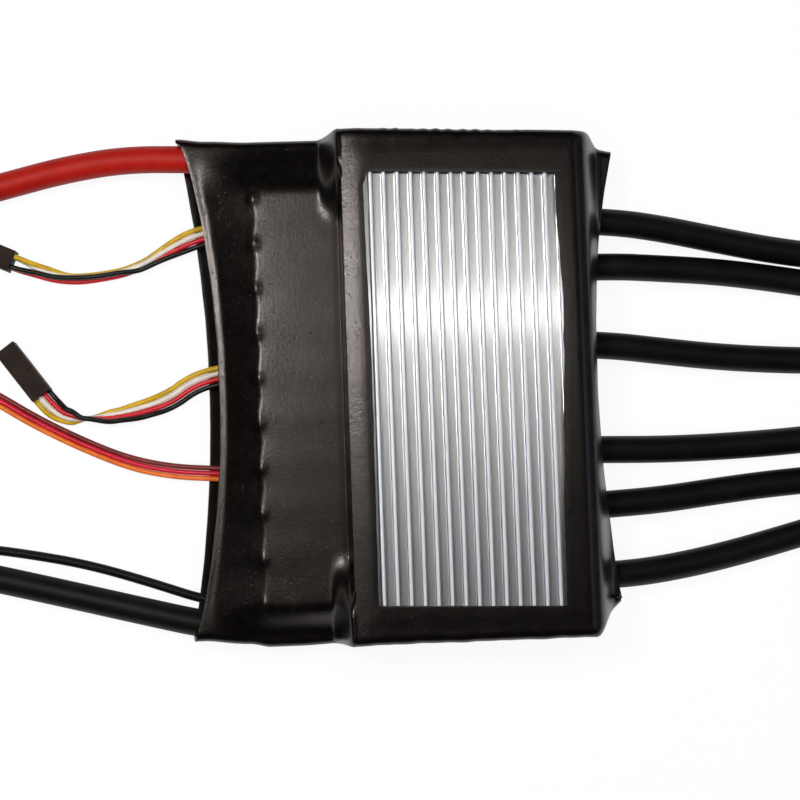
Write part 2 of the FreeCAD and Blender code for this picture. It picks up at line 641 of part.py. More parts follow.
def make_control_parts():
    nodes["microcontroller"] = chips(MICROCONTROLLER)
    nodes["gate_drivers"] = chips(GATE_DRIVERS)
    nodes["voltage_regulator"] = chips(VOLTAGE_REGULATOR)
    nodes["opto_isolators"] = chips(OPTO_ISOLATORS)
    bodies = []
    pins = []
    for side in (-1, 1):
        length = HEADER_PIN_COUNT * HEADER_PIN_PITCH
        bodies.append(centred_block(HEADER_X, side * HEADER_OFFSET_Y, control_top_z, HEADER_PIN_PITCH, length,
                                    HEADER_BODY_HEIGHT))
    for y in header_pins():
        pins.append(centred_block(HEADER_X, y, control_top_z, HEADER_PIN_SIZE, HEADER_PIN_SIZE,
                                  BOARD_SPACING))
    nodes["board_headers"] = group([fused([body] + pins[first:first + HEADER_PIN_COUNT])
                                    for body, first in zip(bodies, (0, HEADER_PIN_COUNT))])


# ---- Capacitor bank ----

def capacitor_rows():
    first = CAPACITOR_ROW_CENTRE_Y - (CAPACITOR_COUNT - 1) / 2 * capacitor_pitch
    return [first + index * capacitor_pitch for index in range(CAPACITOR_COUNT)]


def capacitor_leads(clearance):
    radius = CAPACITOR_LEAD_RADIUS + clearance
    end_x = bar_face_x + SOLDER_HEIGHT
    upper = [level_cylinder(capacitor_right_x, end_x, y, positive_lead_z, radius) for y in capacitor_rows()]
    lower = [level_cylinder(capacitor_right_x, end_x, y, negative_lead_z, radius) for y in capacitor_rows()]
    return upper, lower


def make_capacitors():
    for index, y in enumerate(reversed(capacitor_rows())):
        can = level_cylinder(CAPACITOR_LEFT_X, capacitor_right_x, y, capacitor_z, capacitor_radius)
        rim = [edge for edge in can.Edges if abs(edge.CenterOfMass.x - CAPACITOR_LEFT_X) < 0.01]
        can = can.makeFillet(CAPACITOR_RIM_RADIUS, rim)
        x0 = capacitor_right_x - CAPACITOR_GROOVE_SETBACK
        x1 = x0 + CAPACITOR_GROOVE_WIDTH
        neck = level_cylinder(x0, x1, y, capacitor_z, capacitor_radius - CAPACITOR_GROOVE)
        groove = level_cylinder(x0, x1, y, capacitor_z, capacitor_radius + 1).cut(neck)
        nodes["capacitor_%02d" % (index + 1)] = can.cut(groove)
    upper, lower = capacitor_leads(0)
    soldered = []
    for lead in upper + lower:
        centre = lead.BoundBox.Center
        place = Vector(bar_face_x, centre.y, centre.z)
        cone = Part.makeCone(SOLDER_RADIUS, CAPACITOR_LEAD_RADIUS, SOLDER_HEIGHT, place, Vector(1, 0, 0))
        soldered.append(fused([lead, cone]))
    nodes["capacitor_leads"] = group(soldered)
    length = foam_length / 2
    foam_right = capacitor_right_x - FOAM_SETBACK
    nodes["capacitor_foam"] = block(foam_right - FOAM_WIDTH, foam_right, -length, length, control_top_z,
                                    control_top_z + FOAM_THICKNESS)


def make_bus_bars():
    rows = capacitor_rows()
    low_y = rows[0] - capacitor_radius + CAPACITOR_BOARD_INSET
    high_y = rows[-1] + capacitor_radius - CAPACITOR_BOARD_INSET
    gaps = [(first + second) / 2 for first, second in zip(rows, rows[1:])]
    upper, lower = capacitor_leads(HOLE_CLEARANCE)
    board = block(capacitor_board_x, bus_bar_x, low_y, high_y, capacitor_z - capacitor_radius,
                  positive_lead_z + BUS_BAR_HEIGHT / 2)
    nodes["capacitor_board"] = board.cut(group(upper + lower))

    bar_half = BUS_BAR_HEIGHT / 2
    core_hole = LEAD_CORE_RADIUS + HOLE_CLEARANCE
    sense_hole = SENSE_CORE_RADIUS + HOLE_CLEARANCE
    link_end = bar_face_x + LINK_REACH

    lead_y, lead_z = POSITIVE_ROUTE[0][1], POSITIVE_ROUTE[0][2]
    top_z = positive_lead_z + bar_half
    shapes = [
        block(bus_bar_x, bar_face_x, low_y, high_y, positive_lead_z - bar_half, top_z),
        block(bus_bar_x, bar_face_x, high_y, lead_y + core_hole + TAB_WALL,
              lead_z - core_hole - TAB_WALL, top_z),
    ]
    for y in gaps[0::2]:
        shapes.append(block(bar_face_x, link_end, y - LINK_WIDTH / 2, y + LINK_WIDTH / 2, power_top_z,
                            power_top_z + LINK_THICKNESS))
    bar = fused(shapes).cut(level_cylinder(bus_bar_x, bar_face_x, lead_y, lead_z, core_hole))
    nodes["positive_bus_bar"] = bar.cut(group(upper))

    lead_y, lead_z = NEGATIVE_ROUTE[0][1], NEGATIVE_ROUTE[0][2]
    sense_y, sense_z = SENSE_ROUTE[0][1], SENSE_ROUTE[0][2]
    tab_low_y = lead_y - core_hole - TAB_WALL
    bottom_z = negative_lead_z - bar_half
    shapes = [
        block(bus_bar_x, bar_face_x, tab_low_y, high_y, bottom_z, negative_lead_z + bar_half),
        block(bus_bar_x, bar_face_x, tab_low_y, sense_y + sense_hole + TAB_WALL,
              sense_z - sense_hole - TAB_WALL / 2, negative_lead_z + bar_half),
    ]
    for y in gaps[1::2]:
        y0, y1 = y - LINK_WIDTH / 2, y + LINK_WIDTH / 2
        shapes.append(block(bar_face_x, link_end, y0, y1, bottom_z, bottom_z + LINK_THICKNESS))
        shapes.append(block(link_end - LINK_THICKNESS, link_end, y0, y1, bottom_z, power_board_z))
    bar = fused(shapes).cut(level_cylinder(bus_bar_x, bar_face_x, lead_y, lead_z, core_hole))
    bar = bar.cut(level_cylinder(bus_bar_x, bar_face_x, sense_y, sense_z, sense_hole))
    nodes["negative_bus_bar"] = bar.cut(group(lower))


def make_phase_bars():
    right = MOTOR_ROUTES[0][0][0] - 0.5
    for name, first, second in (("a", 0, 1), ("b", 2, 3), ("c", 4, 5)):
        high_y = MOTOR_ROUTES[first][0][1] + PHASE_BAR_MARGIN
        low_y = MOTOR_ROUTES[second][0][1] - PHASE_BAR_MARGIN
        nodes["phase_" + name + "_bar"] = block(right - PHASE_BAR_LENGTH, right, low_y, high_y, phase_bar_z,
                                                power_board_z)


# ---- Heavy leads ----

def make_leads():
    cores = []
    tips = []
    for index, route in enumerate(MOTOR_ROUTES):
        nodes["motor_lead_%d" % (index + 1)] = tube(route, LEAD_RADIUS, "motor_lead_%d" % (index + 1))
        tips.append(end_cylinder(route, LEAD_CORE_RADIUS, LEAD_TIP_LENGTH))
        cores.append(end_cylinder(route[1::-1], LEAD_CORE_RADIUS, LEAD_TIP_LENGTH))
    for name, route in (("battery_lead_positive", POSITIVE_ROUTE), ("battery_lead_negative", NEGATIVE_ROUTE)):
        nodes[name] = tube(route, LEAD_RADIUS, name)
        tips.append(end_cylinder(route, LEAD_CORE_RADIUS, LEAD_TIP_LENGTH))
        inner_x, inner_y, inner_z = route[0]
        cores.append(level_cylinder(inner_x, bar_face_x, inner_y, inner_z, LEAD_CORE_RADIUS))
    nodes["sense_lead"] = tube(SENSE_ROUTE, SENSE_LEAD_RADIUS, "sense_lead")
    tips.append(end_cylinder(SENSE_ROUTE, SENSE_CORE_RADIUS, SENSE_TIP_LENGTH))
    inner_x, inner_y, inner_z = SENSE_ROUTE[0]
    cores.append(level_cylinder(inner_x, bar_face_x, inner_y, inner_z, SENSE_CORE_RADIUS))
    nodes["lead_inner_ends"] = group(cores)
    nodes["lead_tips"] = group(tips)


# ---- Small leads, their plugs and the coil ----

def plug(mouth, direction, columns, rows, height):
    """Housing on the surface with a grid of sockets in its far end, and the contact in each socket."""
    width = columns * PLUG_PIN_PITCH
    housing = block(0, PLUG_LENGTH, -width / 2, width / 2, 0, height)
    contacts = []
    half = PLUG_SOCKET_SIZE / 2
    bore = half - CONTACT_WALL
    floor_x = PLUG_LENGTH - PLUG_SOCKET_DEPTH
    for column in range(columns):
        y = (column - (columns - 1) / 2) * PLUG_PIN_PITCH
        for row in range(rows):
            z = height / 2 + (row - (rows - 1) / 2) * PLUG_PIN_PITCH
            housing = housing.cut(block(floor_x, PLUG_LENGTH, y - half, y + half, z - half, z + half))
            shell = block(floor_x, PLUG_LENGTH - CONTACT_SETBACK, y - half, y + half, z - half, z + half)
            inside = block(floor_x + CONTACT_SETBACK, PLUG_LENGTH, y - bore, y + bore, z - bore, z + bore)
            contacts.append(shell.cut(inside))
        housing = housing.cut(block(LATCH_START, LATCH_END, y - half, y + half, height - LATCH_DEPTH, height))
    place = plan_frame(Vector(mouth.x, mouth.y, 0), direction)
    for piece in [housing] + contacts:
        piece.Placement = place
    return housing, contacts


def data_plug(route):
    mouth = Vector(*route[-1])
    return plug(mouth, mouth - Vector(*route[-2]), 2, 2, 2 * PLUG_PIN_PITCH)


def make_ribbon(prefix, route, colours, radius, pitch):
    for index, colour in enumerate(colours):
        name = prefix + "_" + colour
        offset = (index - (len(colours) - 1) / 2) * pitch
        nodes[name] = tube(side_by_side(route, offset), radius, name)


def make_servo_coil():
    """Outer shape of the wound receiver lead: a ring with a straight way in and a straight way out."""
    entry = Vector(*SERVO_ROUTE[-1])
    travel = (entry - Vector(*SERVO_ROUTE[-2])).normalize()
    entry.z = 0
    touch = entry + travel * COIL_INLET_LENGTH
    centre = touch + Vector(-travel.y, travel.x, 0) * COIL_RADIUS
    half = COIL_BAND / 2
    ring = upright_cylinder(centre.x, centre.y, 0, COIL_RADIUS + half, COIL_HEIGHT)
    ring = ring.cut(upright_cylinder(centre.x, centre.y, 0, COIL_RADIUS - half, COIL_HEIGHT))
    band = 3 * SERVO_CONDUCTOR_PITCH / 2
    inlet = block(0, COIL_INLET_LENGTH + 1, -band, band, 0, COIL_HEIGHT / 2)
    inlet.Placement = plan_frame(entry, travel)
    start_angle = math.atan2(touch.y - centre.y, touch.x - centre.x)
    leave_angle = start_angle + math.radians(COIL_TAIL_TURN)
    leave = centre + Vector(math.cos(leave_angle), math.sin(leave_angle), 0) * COIL_RADIUS
    tail_way = Vector(-math.sin(leave_angle), math.cos(leave_angle), 0)
    outlet = block(-1, COIL_TAIL_LENGTH, -band, band, 0, SERVO_PLUG_THICKNESS)
    outlet.Placement = plan_frame(leave, tail_way)
    nodes["servo_lead_coil"] = fused([ring, inlet, outlet])
    return leave + tail_way * COIL_TAIL_LENGTH, tail_way


def make_small_leads():
    make_ribbon("data_lead_a", DATA_A_ROUTE, DATA_COLOURS, CONDUCTOR_RADIUS, CONDUCTOR_PITCH)
    make_ribbon("data_lead_b", DATA_B_ROUTE, DATA_COLOURS, CONDUCTOR_RADIUS, CONDUCTOR_PITCH)
    make_ribbon("servo_lead", SERVO_ROUTE, SERVO_COLOURS, SERVO_CONDUCTOR_RADIUS, SERVO_CONDUCTOR_PITCH)
    nodes["data_plug_a"], contacts_a = data_plug(DATA_A_ROUTE)
    nodes["data_plug_b"], contacts_b = data_plug(DATA_B_ROUTE)
    mouth, direction = make_servo_coil()
    nodes["servo_plug"], contacts_c = plug(mouth, direction, 3, 1, SERVO_PLUG_THICKNESS)
    nodes["plug_contacts"] = group(contacts_a + contacts_b + contacts_c)


# ---- Build and write ----

make_heatsink()
make_sleeve()
make_boards()
make_fixings()
make_mosfets()
make_control_parts()
make_capacitors()
make_bus_bars()
make_phase_bars()
make_leads()
make_small_leads()

os.makedirs("parts", exist_ok=True)
for name, shape in nodes.items():
    print(name, "solids", len(shape.Solids), "valid", shape.isValid(), "volume", round(shape.Volume, 1))
    shape.exportStep("parts/" + name + ".step")
print(len(nodes), "nodes")
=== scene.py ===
"""A brushless motor speed controller: ribbed heatsink in a heat-shrink sleeve, with its leads and plugs."""

import json
import math

import bmesh
import bpy
from mathutils import Matrix, Vector, noise


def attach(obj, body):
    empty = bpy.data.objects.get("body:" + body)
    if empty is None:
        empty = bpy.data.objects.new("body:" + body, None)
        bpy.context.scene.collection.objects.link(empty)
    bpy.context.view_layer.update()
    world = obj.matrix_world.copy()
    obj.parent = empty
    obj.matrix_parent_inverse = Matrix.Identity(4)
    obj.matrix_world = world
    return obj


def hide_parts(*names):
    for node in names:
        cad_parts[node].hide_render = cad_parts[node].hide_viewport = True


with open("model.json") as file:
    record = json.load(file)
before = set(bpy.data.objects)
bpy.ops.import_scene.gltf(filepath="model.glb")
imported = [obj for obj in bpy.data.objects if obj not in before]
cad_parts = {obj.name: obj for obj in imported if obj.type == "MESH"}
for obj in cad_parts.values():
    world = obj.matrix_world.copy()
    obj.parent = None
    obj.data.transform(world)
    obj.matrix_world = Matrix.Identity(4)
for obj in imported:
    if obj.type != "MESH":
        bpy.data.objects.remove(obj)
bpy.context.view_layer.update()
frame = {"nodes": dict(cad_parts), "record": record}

MM = 0.001
LEAD_RADIUS = 3.2
CORE_RADIUS = 2.1
TIP_LENGTH = 8.0
SENSE_RADIUS = 1.1
SENSE_CORE_RADIUS = 0.7
SENSE_TIP_LENGTH = 5.0
CONDUCTOR_RADIUS = 0.62
CONDUCTOR_PITCH = 1.3
SERVO_RADIUS = 0.6
SERVO_PITCH = 1.25

# ---- Camera ----

CAMERA_TARGET = Vector((-1.2, -3.8, 22.9)) * MM
CAMERA_DISTANCE = 420 * MM
CAMERA_LENS = 84.1
CAMERA_LEAN_X = math.radians(-2.5)
CAMERA_LEAN_Y = math.radians(-3.0)
CAMERA_ROLL = math.radians(2.0)


def make_camera():
    back = Vector((math.sin(CAMERA_LEAN_X), math.sin(CAMERA_LEAN_Y), 0))
    back.z = math.sqrt(1 - back.length_squared)
    along_ribs = Vector((0, 1, 0))
    level_up = (along_ribs - back * along_ribs.dot(back)).normalized()
    level_right = level_up.cross(back)
    right = level_right * math.cos(CAMERA_ROLL) - level_up * math.sin(CAMERA_ROLL)
    up = level_right * math.sin(CAMERA_ROLL) + level_up * math.cos(CAMERA_ROLL)
    data = bpy.data.cameras.new("camera")
    data.lens = CAMERA_LENS
    data.clip_start, data.clip_end = 0.01, 20
    camera = bpy.data.objects.new("camera", data)
    bpy.context.scene.collection.objects.link(camera)
    turn = Matrix((right, up, back)).transposed().to_4x4()
    camera.matrix_world = Matrix.Translation(CAMERA_TARGET + back * CAMERA_DISTANCE) @ turn
    bpy.context.scene.camera = camera


make_camera()

# ---- Shader maths ----


# Heights on the heatsink between which its flanks and its crests begin: the flanks get a painted bluish
# shade and the crests a painted white highlight.
FLANK_FROM, FLANK_TO = 20.1, 20.5
CREST_FROM, CREST_TO = 21.65, 21.9


def tone(red, green, blue):
    """A colour as it looks, 0 to 255, as the shader wants it."""
    def linear(part):
        part /= 255
        return part / 12.92 if part <= 0.04045 else ((part + 0.055) / 1.055) ** 2.4
    return (linear(red), linear(green), linear(blue), 1)


class Link:
    """An output of a node. Sums and products of links make Math nodes."""

    def __init__(self, finish, socket):
        self.finish = finish
        self.socket = socket

    def maths(self, operation, first, second):
        return self.finish.node("Math", {"operation": operation}, {0: first, 1: second})

    def __add__(self, other):
        return self.maths("ADD", self, other)

    def __radd__(self, other):
        return self.maths("ADD", other, self)

    def __sub__(self, other):
        return self.maths("SUBTRACT", self, other)

    def __rsub__(self, other):
        return self.maths("SUBTRACT", other, self)

    def __mul__(self, other):
        return self.maths("MULTIPLY", self, other)

    def __rmul__(self, other):
        return self.maths("MULTIPLY", other, self)


class Finish:
    """One material, made of nodes."""

    def __init__(self, name):
        self.material = bpy.data.materials.new(name)
        self.material.use_nodes = True
        self.tree = self.material.node_tree
        self.tree.nodes.clear()
        self.place = self.node("TexCoord", {}, {}, "Object")

    def node(self, kind, settings, sockets, output=0):
        """A node with its settings and sockets set. Gives the chosen output as a Link."""
        node = self.tree.nodes.new("ShaderNode" + kind)
        for key, value in settings.items():
            setattr(node, key, value)
        for key, value in sockets.items():
            if isinstance(value, Link):
                self.tree.links.new(value.socket, node.inputs[key])
            else:
                node.inputs[key].default_value = value
        return Link(self, node.outputs[output]) if len(node.outputs) else node

    def stretched(self, x, y, z):
        """The place on the piece, with its three parts scaled, so that a grain gets long that way."""
        return self.node("VectorMath", {"operation": "MULTIPLY"}, {0: self.place, 1: (x, y, z)})

    def grain(self, scale, detail, rough=0.5, place=None):
        return self.node("TexNoise", {}, {"Vector": place or self.place, "Scale": scale, "Detail": detail,
                                          "Roughness": rough})

    def spread(self, value, low, high):
        """0 below low, 1 above high and smooth between."""
        return self.node("MapRange", {"interpolation_type": "SMOOTHSTEP"}, {0: value, 1: low, 2: high})

    def blend(self, factor, first, second):
        """Two colours mixed. The node's sockets 6 and 7 and its output 2 are the ones for colour."""
        return self.node("Mix", {"data_type": "RGBA"}, {0: factor, 6: first, 7: second}, 2)

    def bump(self, height, distance, strength):
        return self.node("Bump", {}, {"Height": height, "Distance": distance, "Strength": strength})

    def surface(self, sockets):
        shader = self.node("BsdfPrincipled", {}, sockets)
        self.node("OutputMaterial", {}, {"Surface": shader})
        return self.material


def plain_finish(name, dark, light, roughness, grain_scale, bump_mm, metallic, coat):
    """A moulded, plated or pressed surface: mottled colour, uneven gloss and a fine grain."""
    finish = Finish(name)
    mottle = finish.spread(finish.grain(grain_scale * 0.3, 3), 0.3, 0.7)
    fine = finish.grain(grain_scale, 3)
    return finish.surface({
        "Base Color": finish.blend(mottle, dark, light),
        "Roughness": roughness - 0.05 + 0.1 * fine,
        "Metallic": metallic,
        "Coat Weight": coat,
        "Normal": finish.bump(fine, bump_mm * MM, 0.6),
    })


def sleeve_finish():
    """Black shrunk film: fine pores, faint scuffs and a satin sheen."""
    finish = Finish("sleeve")
    mottle = finish.grain(420, 4, 0.6)
    pores = finish.spread(finish.grain(1500, 2, 0.6), 0.62, 0.74)
    scuffs = finish.spread(finish.grain(160, 5, 0.7, finish.stretched(1.0, 0.25, 1.0)), 0.60, 0.75)
    colour = finish.blend(finish.spread(mottle, 0.35, 0.7), tone(4, 3, 2), tone(9, 7, 6))
    worn = finish.blend(scuffs * 0.35, colour, tone(32, 28, 25))
    gloss = 0.25 + 0.08 * mottle + 0.05 * scuffs
    skin = finish.bump(0.5 * mottle + 0.7 * finish.grain(1300, 3, 0.6) - 0.6 * pores, 0.07 * MM, 0.55)
    return finish.surface({"Base Color": worn, "Roughness": gloss, "Specular IOR Level": 0.56,
                           "Specular Tint": tone(255, 242, 234), "Normal": skin})


def aluminium_finish():
    """Drawn aluminium: crests painted white as a painted highlight, flanks painted bluish as painted shade,
    and polished floors between the ribs.
    """
    finish = Finish("heatsink")
    height = finish.node("SeparateXYZ", {}, {0: finish.place}, "Z")
    crest = finish.spread(height, CREST_FROM * MM, CREST_TO * MM)
    flank = finish.spread(height, FLANK_FROM * MM, FLANK_TO * MM) - crest
    drawn = finish.grain(900, 4, 0.65, finish.stretched(1.0, 0.012, 1.0))
    patches = finish.grain(38, 3, 0.55)
    plain = finish.blend(finish.spread(patches, 0.35, 0.7), tone(220, 220, 216), tone(232, 231, 227))
    # The rib flanks are painted bluish: painted shade on the ribs' sides.
    flank_shade_painted = finish.blend(flank * 0.8, plain, tone(168, 176, 232))
    # The rib crests are painted white: a painted highlight along each rib.
    colour = finish.blend(crest, flank_shade_painted, tone(255, 255, 255))
    return finish.surface({
        "Base Color": colour,
        "Metallic": 0.99 - 0.75 * flank - 0.3 * crest,
        "Roughness": 0.28 + 0.04 * drawn + 0.03 * patches + 0.1 * crest + 0.1 * flank,
        "Coat Weight": 1.0, "Coat Roughness": 0.10, "Coat IOR": 1.85,
        "Normal": finish.bump(drawn, 0.006 * MM, 0.3),
    })


def silicone_finish(name, dark, light, roughness):
    """Soft lead insulation with a dusty bloom."""
    finish = Finish(name)
    bloom = finish.grain(140, 4, 0.6)
    dust = finish.spread(finish.grain(900, 3, 0.7), 0.55, 0.8)
    colour = finish.blend(finish.spread(bloom, 0.3, 0.75), dark, light)
    return finish.surface({
        "Base Color": colour,
        "Roughness": roughness + 0.10 * bloom + 0.08 * dust,
        "Specular IOR Level": 0.3,
        "Normal": finish.bump(bloom + 0.3 * dust, 0.12 * MM, 0.35),
    })


def insulation_finish(name, dark, light):
    """Thin glossy conductor insulation."""
    finish = Finish(name)
    streaks = finish.grain(300, 3, 0.6)
    return finish.surface({
        "Base Color": finish.blend(finish.spread(streaks, 0.3, 0.7), dark, light),
        "Roughness": 0.34 + 0.12 * streaks,
        "Normal": finish.bump(streaks, 0.05 * MM, 0.4),
    })


def board_finish():
    """Green solder mask with tracks that show through it."""
    finish = Finish("circuit_board")
    tracks = finish.spread(finish.grain(260, 1, 0.4, finish.stretched(1.0, 0.3, 1.0)), 0.48, 0.52)
    colour = finish.blend(tracks, tone(14, 58, 34), tone(22, 82, 48))
    return finish.surface({"Base Color": colour, "Roughness": 0.35 + 0.1 * tracks,
                           "Normal": finish.bump(tracks, 0.03 * MM, 0.6)})


# Each plain slot: darker and lighter tone, roughness, grain scale, grain depth in mm, metallic, clear coat.
PLAIN_SLOTS = {
    "insulation": ((196, 178, 120), (214, 196, 140), 0.42, 300, 0.05, 0.0, 0.0),
    "thermal_pad": ((140, 150, 160), (168, 176, 184), 0.75, 500, 0.1, 0.0, 0.0),
    "brass": ((178, 140, 70), (200, 162, 88), 0.32, 700, 0.02, 1.0, 0.0),
    "screw_steel": ((120, 120, 122), (160, 160, 160), 0.35, 700, 0.02, 1.0, 0.0),
    "moulded_package": ((26, 26, 27), (38, 38, 38), 0.62, 900, 0.05, 0.0, 0.0),
    "tinned_copper": ((176, 174, 168), (206, 204, 198), 0.34, 900, 0.04, 1.0, 0.0),
    "header_plastic": ((22, 22, 22), (34, 34, 34), 0.5, 700, 0.04, 0.0, 0.0),
    "foam": ((60, 60, 62), (92, 92, 94), 0.95, 900, 0.3, 0.0, 0.0),
    "capacitor_sleeve": ((24, 28, 58), (32, 38, 74), 0.38, 300, 0.04, 0.0, 0.3),
    "copper": ((176, 96, 60), (206, 124, 84), 0.36, 500, 0.03, 1.0, 0.0),
    "plug_housing": ((26, 17, 11), (46, 31, 22), 0.74, 500, 0.06, 0.0, 0.0),
    "contact_metal": ((190, 170, 110), (214, 196, 140), 0.3, 700, 0.02, 1.0, 0.0),
}
# Darker and lighter tone of each heavy lead's silicone, with its roughness, and of each thin insulation.
SILICONE_SLOTS = {
    "black_silicone": ((6, 5, 4), (12, 11, 9), 0.48),
    "red_silicone": ((152, 15, 7), (172, 26, 15), 0.47),
}
INSULATION_SLOTS = {
    "black_insulation": ((9, 8, 8), (17, 16, 15)),
    "yellow_insulation": ((182, 142, 6), (206, 166, 22)),
    "white_insulation": ((206, 196, 184), (226, 218, 206)),
    "red_insulation": ((178, 22, 32), (202, 34, 44)),
    "brown_insulation": ((96, 26, 22), (122, 38, 32)),
    "crimson_insulation": ((176, 12, 40), (200, 22, 52)),
    "orange_insulation": ((206, 92, 22), (228, 114, 36)),
}

finishes = {"sleeve": sleeve_finish(), "heatsink": aluminium_finish(), "circuit_board": board_finish()}
for maker, slots in ((plain_finish, PLAIN_SLOTS), (silicone_finish, SILICONE_SLOTS),
                     (insulation_finish, INSULATION_SLOTS)):
    for slot, (dark, light, *settings) in slots.items():
        finishes[slot] = maker(slot, tone(*dark), tone(*light), *settings)

for node in frame["record"]["subparts"]:
    mesh = frame["nodes"][node["node"]].data
    mesh.materials.clear()
    mesh.materials.append(finishes[node["material_slot"]])

# ---- Cords ----

# Where the heavy leads' conductors and the flat leads are soldered. Routes are in mm.
CORE_Z = 7.1
CONDUCTOR_Z = 3.62
MOTOR_ROUTES = [
    [(38.5, 38.0, CORE_Z), (50, 37.5, CORE_Z), (62, 35.8, 5.6), (75, 33.1, 3.9), (88, 30.3, 3.3),
     (101, 28.2, 3.2), (114, 27.0, 3.2)],
    [(38.5, 26.8, CORE_Z), (50, 26.9, CORE_Z), (62, 26.2, 5.5), (75, 25.3, 4.0), (88, 23.5, 3.3),
     (101, 21.2, 3.2), (114, 18.7, 3.2)],
    [(38.5, 8.9, CORE_Z), (49, 8.3, CORE_Z), (61, 6.7, 5.7), (74, 5.1, 4.0), (87, 4.0, 3.3),
     (100, 3.3, 3.2), (113, 3.0, 3.2)],
    [(38.5, -15.9, CORE_Z), (49, -16.2, CORE_Z), (61, -16.5, 5.6), (74, -16.3, 3.9), (87, -15.8, 3.3),
     (100, -14.9, 3.2), (113, -13.6, 3.2)],
    [(38.5, -29.3, CORE_Z), (49, -28.9, CORE_Z), (61, -28.2, 5.6), (74, -26.7, 4.0), (87, -25.4, 3.3),
     (100, -24.6, 3.2), (113, -24.4, 3.2)],
    [(38.5, -45.6, CORE_Z), (50, -45.4, CORE_Z), (62, -44.2, 5.6), (75, -41.9, 3.9), (88, -38.8, 3.3),
     (101, -35.4, 3.2), (114, -33.2, 3.2)],
]
POSITIVE_ROUTE = [(-18, 53.9, 7.2), (-33, 53.9, 7.2), (-48, 54.9, 7.0), (-63, 55.6, 5.2), (-77, 53.9, 3.7),
                  (-91, 50.6, 3.2), (-105, 47.0, 3.2), (-118, 44.6, 3.2)]
NEGATIVE_ROUTE = [(-18, -54.6, 4.9), (-32, -54.6, 4.9), (-46, -53.8, 5.1), (-60, -50.3, 4.5),
                  (-74, -46.7, 3.6), (-88, -43.1, 3.2), (-102, -39.6, 3.2), (-115, -37.1, 3.2)]
SENSE_ROUTE = [(-18, -50.2, 2.7), (-32, -50.2, 2.7), (-46, -48.4, 3.4), (-60, -43.4, 2.3),
               (-74, -38.9, 1.3), (-88, -35.9, 1.1), (-101, -33.8, 1.1), (-113, -31.2, 1.1)]
# The flat leads turn on edge out in the open, so their middles stand a little higher there.
DATA_A_ROUTE = [(-28, 38.5, CONDUCTOR_Z), (-37, 38.2, 3.7), (-46, 37.4, 3.5), (-54, 34.0, 2.7),
                (-61, 30.3, 1.9), (-69, 28.8, 1.5), (-77, 28.3, 1.6), (-84, 29.9, 2.3), (-90, 32.6, 2.4)]
DATA_B_ROUTE = [(-28, 5.0, CONDUCTOR_Z), (-36, 4.8, 3.7), (-43, 4.3, 3.6), (-49, 2.5, 3.1),
                (-54, -1.0, 2.4), (-61, -3.2, 2.1), (-68.5, -4.6, 2.4), (-75.5, -4.8, 2.7),
                (-80.9, -3.1, 2.6), (-83.9, 1.0, 2.5)]
SERVO_ROUTE = [(-28, -19.2, CONDUCTOR_Z), (-36, -19.0, 3.6), (-44, -18.6, 3.3), (-54, -17.8, 2.0),
               (-64, -15.5, 1.4), (-75, -10.7, 1.3), (-86, -4.9, 1.3), (-95, 0.9, 1.0), (-103.5, 5.2, 0.7)]

COIL_CENTRE = Vector((-122.3, -5.4))
COIL_RADIUS = 18.2
COIL_START = math.radians(63.2)
COIL_TURNS = 2 + 100 / 360
COIL_POINTS_PER_TURN = 16
COIL_RISE = 1.28
COIL_DRAW_IN = 0.45
COIL_FLOOR_Z = 0.7
COIL_TAIL = [(-141.3, -6.2, 2.9), (-143.9, -14.6, 1.3)]


def servo_points():
    """The three-wire lead's route, two stacked turns of a coil, and its tail down to the plug."""
    points = list(SERVO_ROUTE)
    count = int(COIL_TURNS * COIL_POINTS_PER_TURN)
    for step in range(1, count + 1):
        turn = step / COIL_POINTS_PER_TURN
        angle = COIL_START + 2 * math.pi * turn
        radius = COIL_RADIUS - COIL_DRAW_IN * turn
        points.append((COIL_CENTRE.x + radius * math.cos(angle), COIL_CENTRE.y + radius * math.sin(angle),
                       COIL_FLOOR_Z + COIL_RISE * turn))
    return points + COIL_TAIL


def route_curve(name, points, radius=0.0):
    """One smooth NURBS line through the route, with a round section if a radius is given."""
    data = bpy.data.curves.new(name, "CURVE")
    data.dimensions = "3D"
    spline = data.splines.new("NURBS")
    spline.points.add(len(points) - 1)
    for place, point in zip(spline.points, points):
        place.co = (point[0] * MM, point[1] * MM, point[2] * MM, 1)
    spline.order_u = 3
    spline.use_endpoint_u = True
    data.resolution_u = 12
    data.bevel_depth = radius * MM
    data.bevel_resolution = 7
    data.use_fill_caps = radius > 0
    piece = bpy.data.objects.new(name, data)
    bpy.context.scene.collection.objects.link(piece)
    return piece


def line_of(curve):
    """The points of a bare curve, in order, in metres."""
    bpy.context.view_layer.update()
    mesh = bpy.data.meshes.new_from_object(curve)
    points = [vertex.co.copy() for vertex in mesh.vertices]
    bpy.data.meshes.remove(mesh)
    return points


STRANDS = 12
STRAND_DEPTH = 0.09
STRAND_TWIST = 2.2
CUT_TAPER = 0.16
CUT_FROM = 0.85


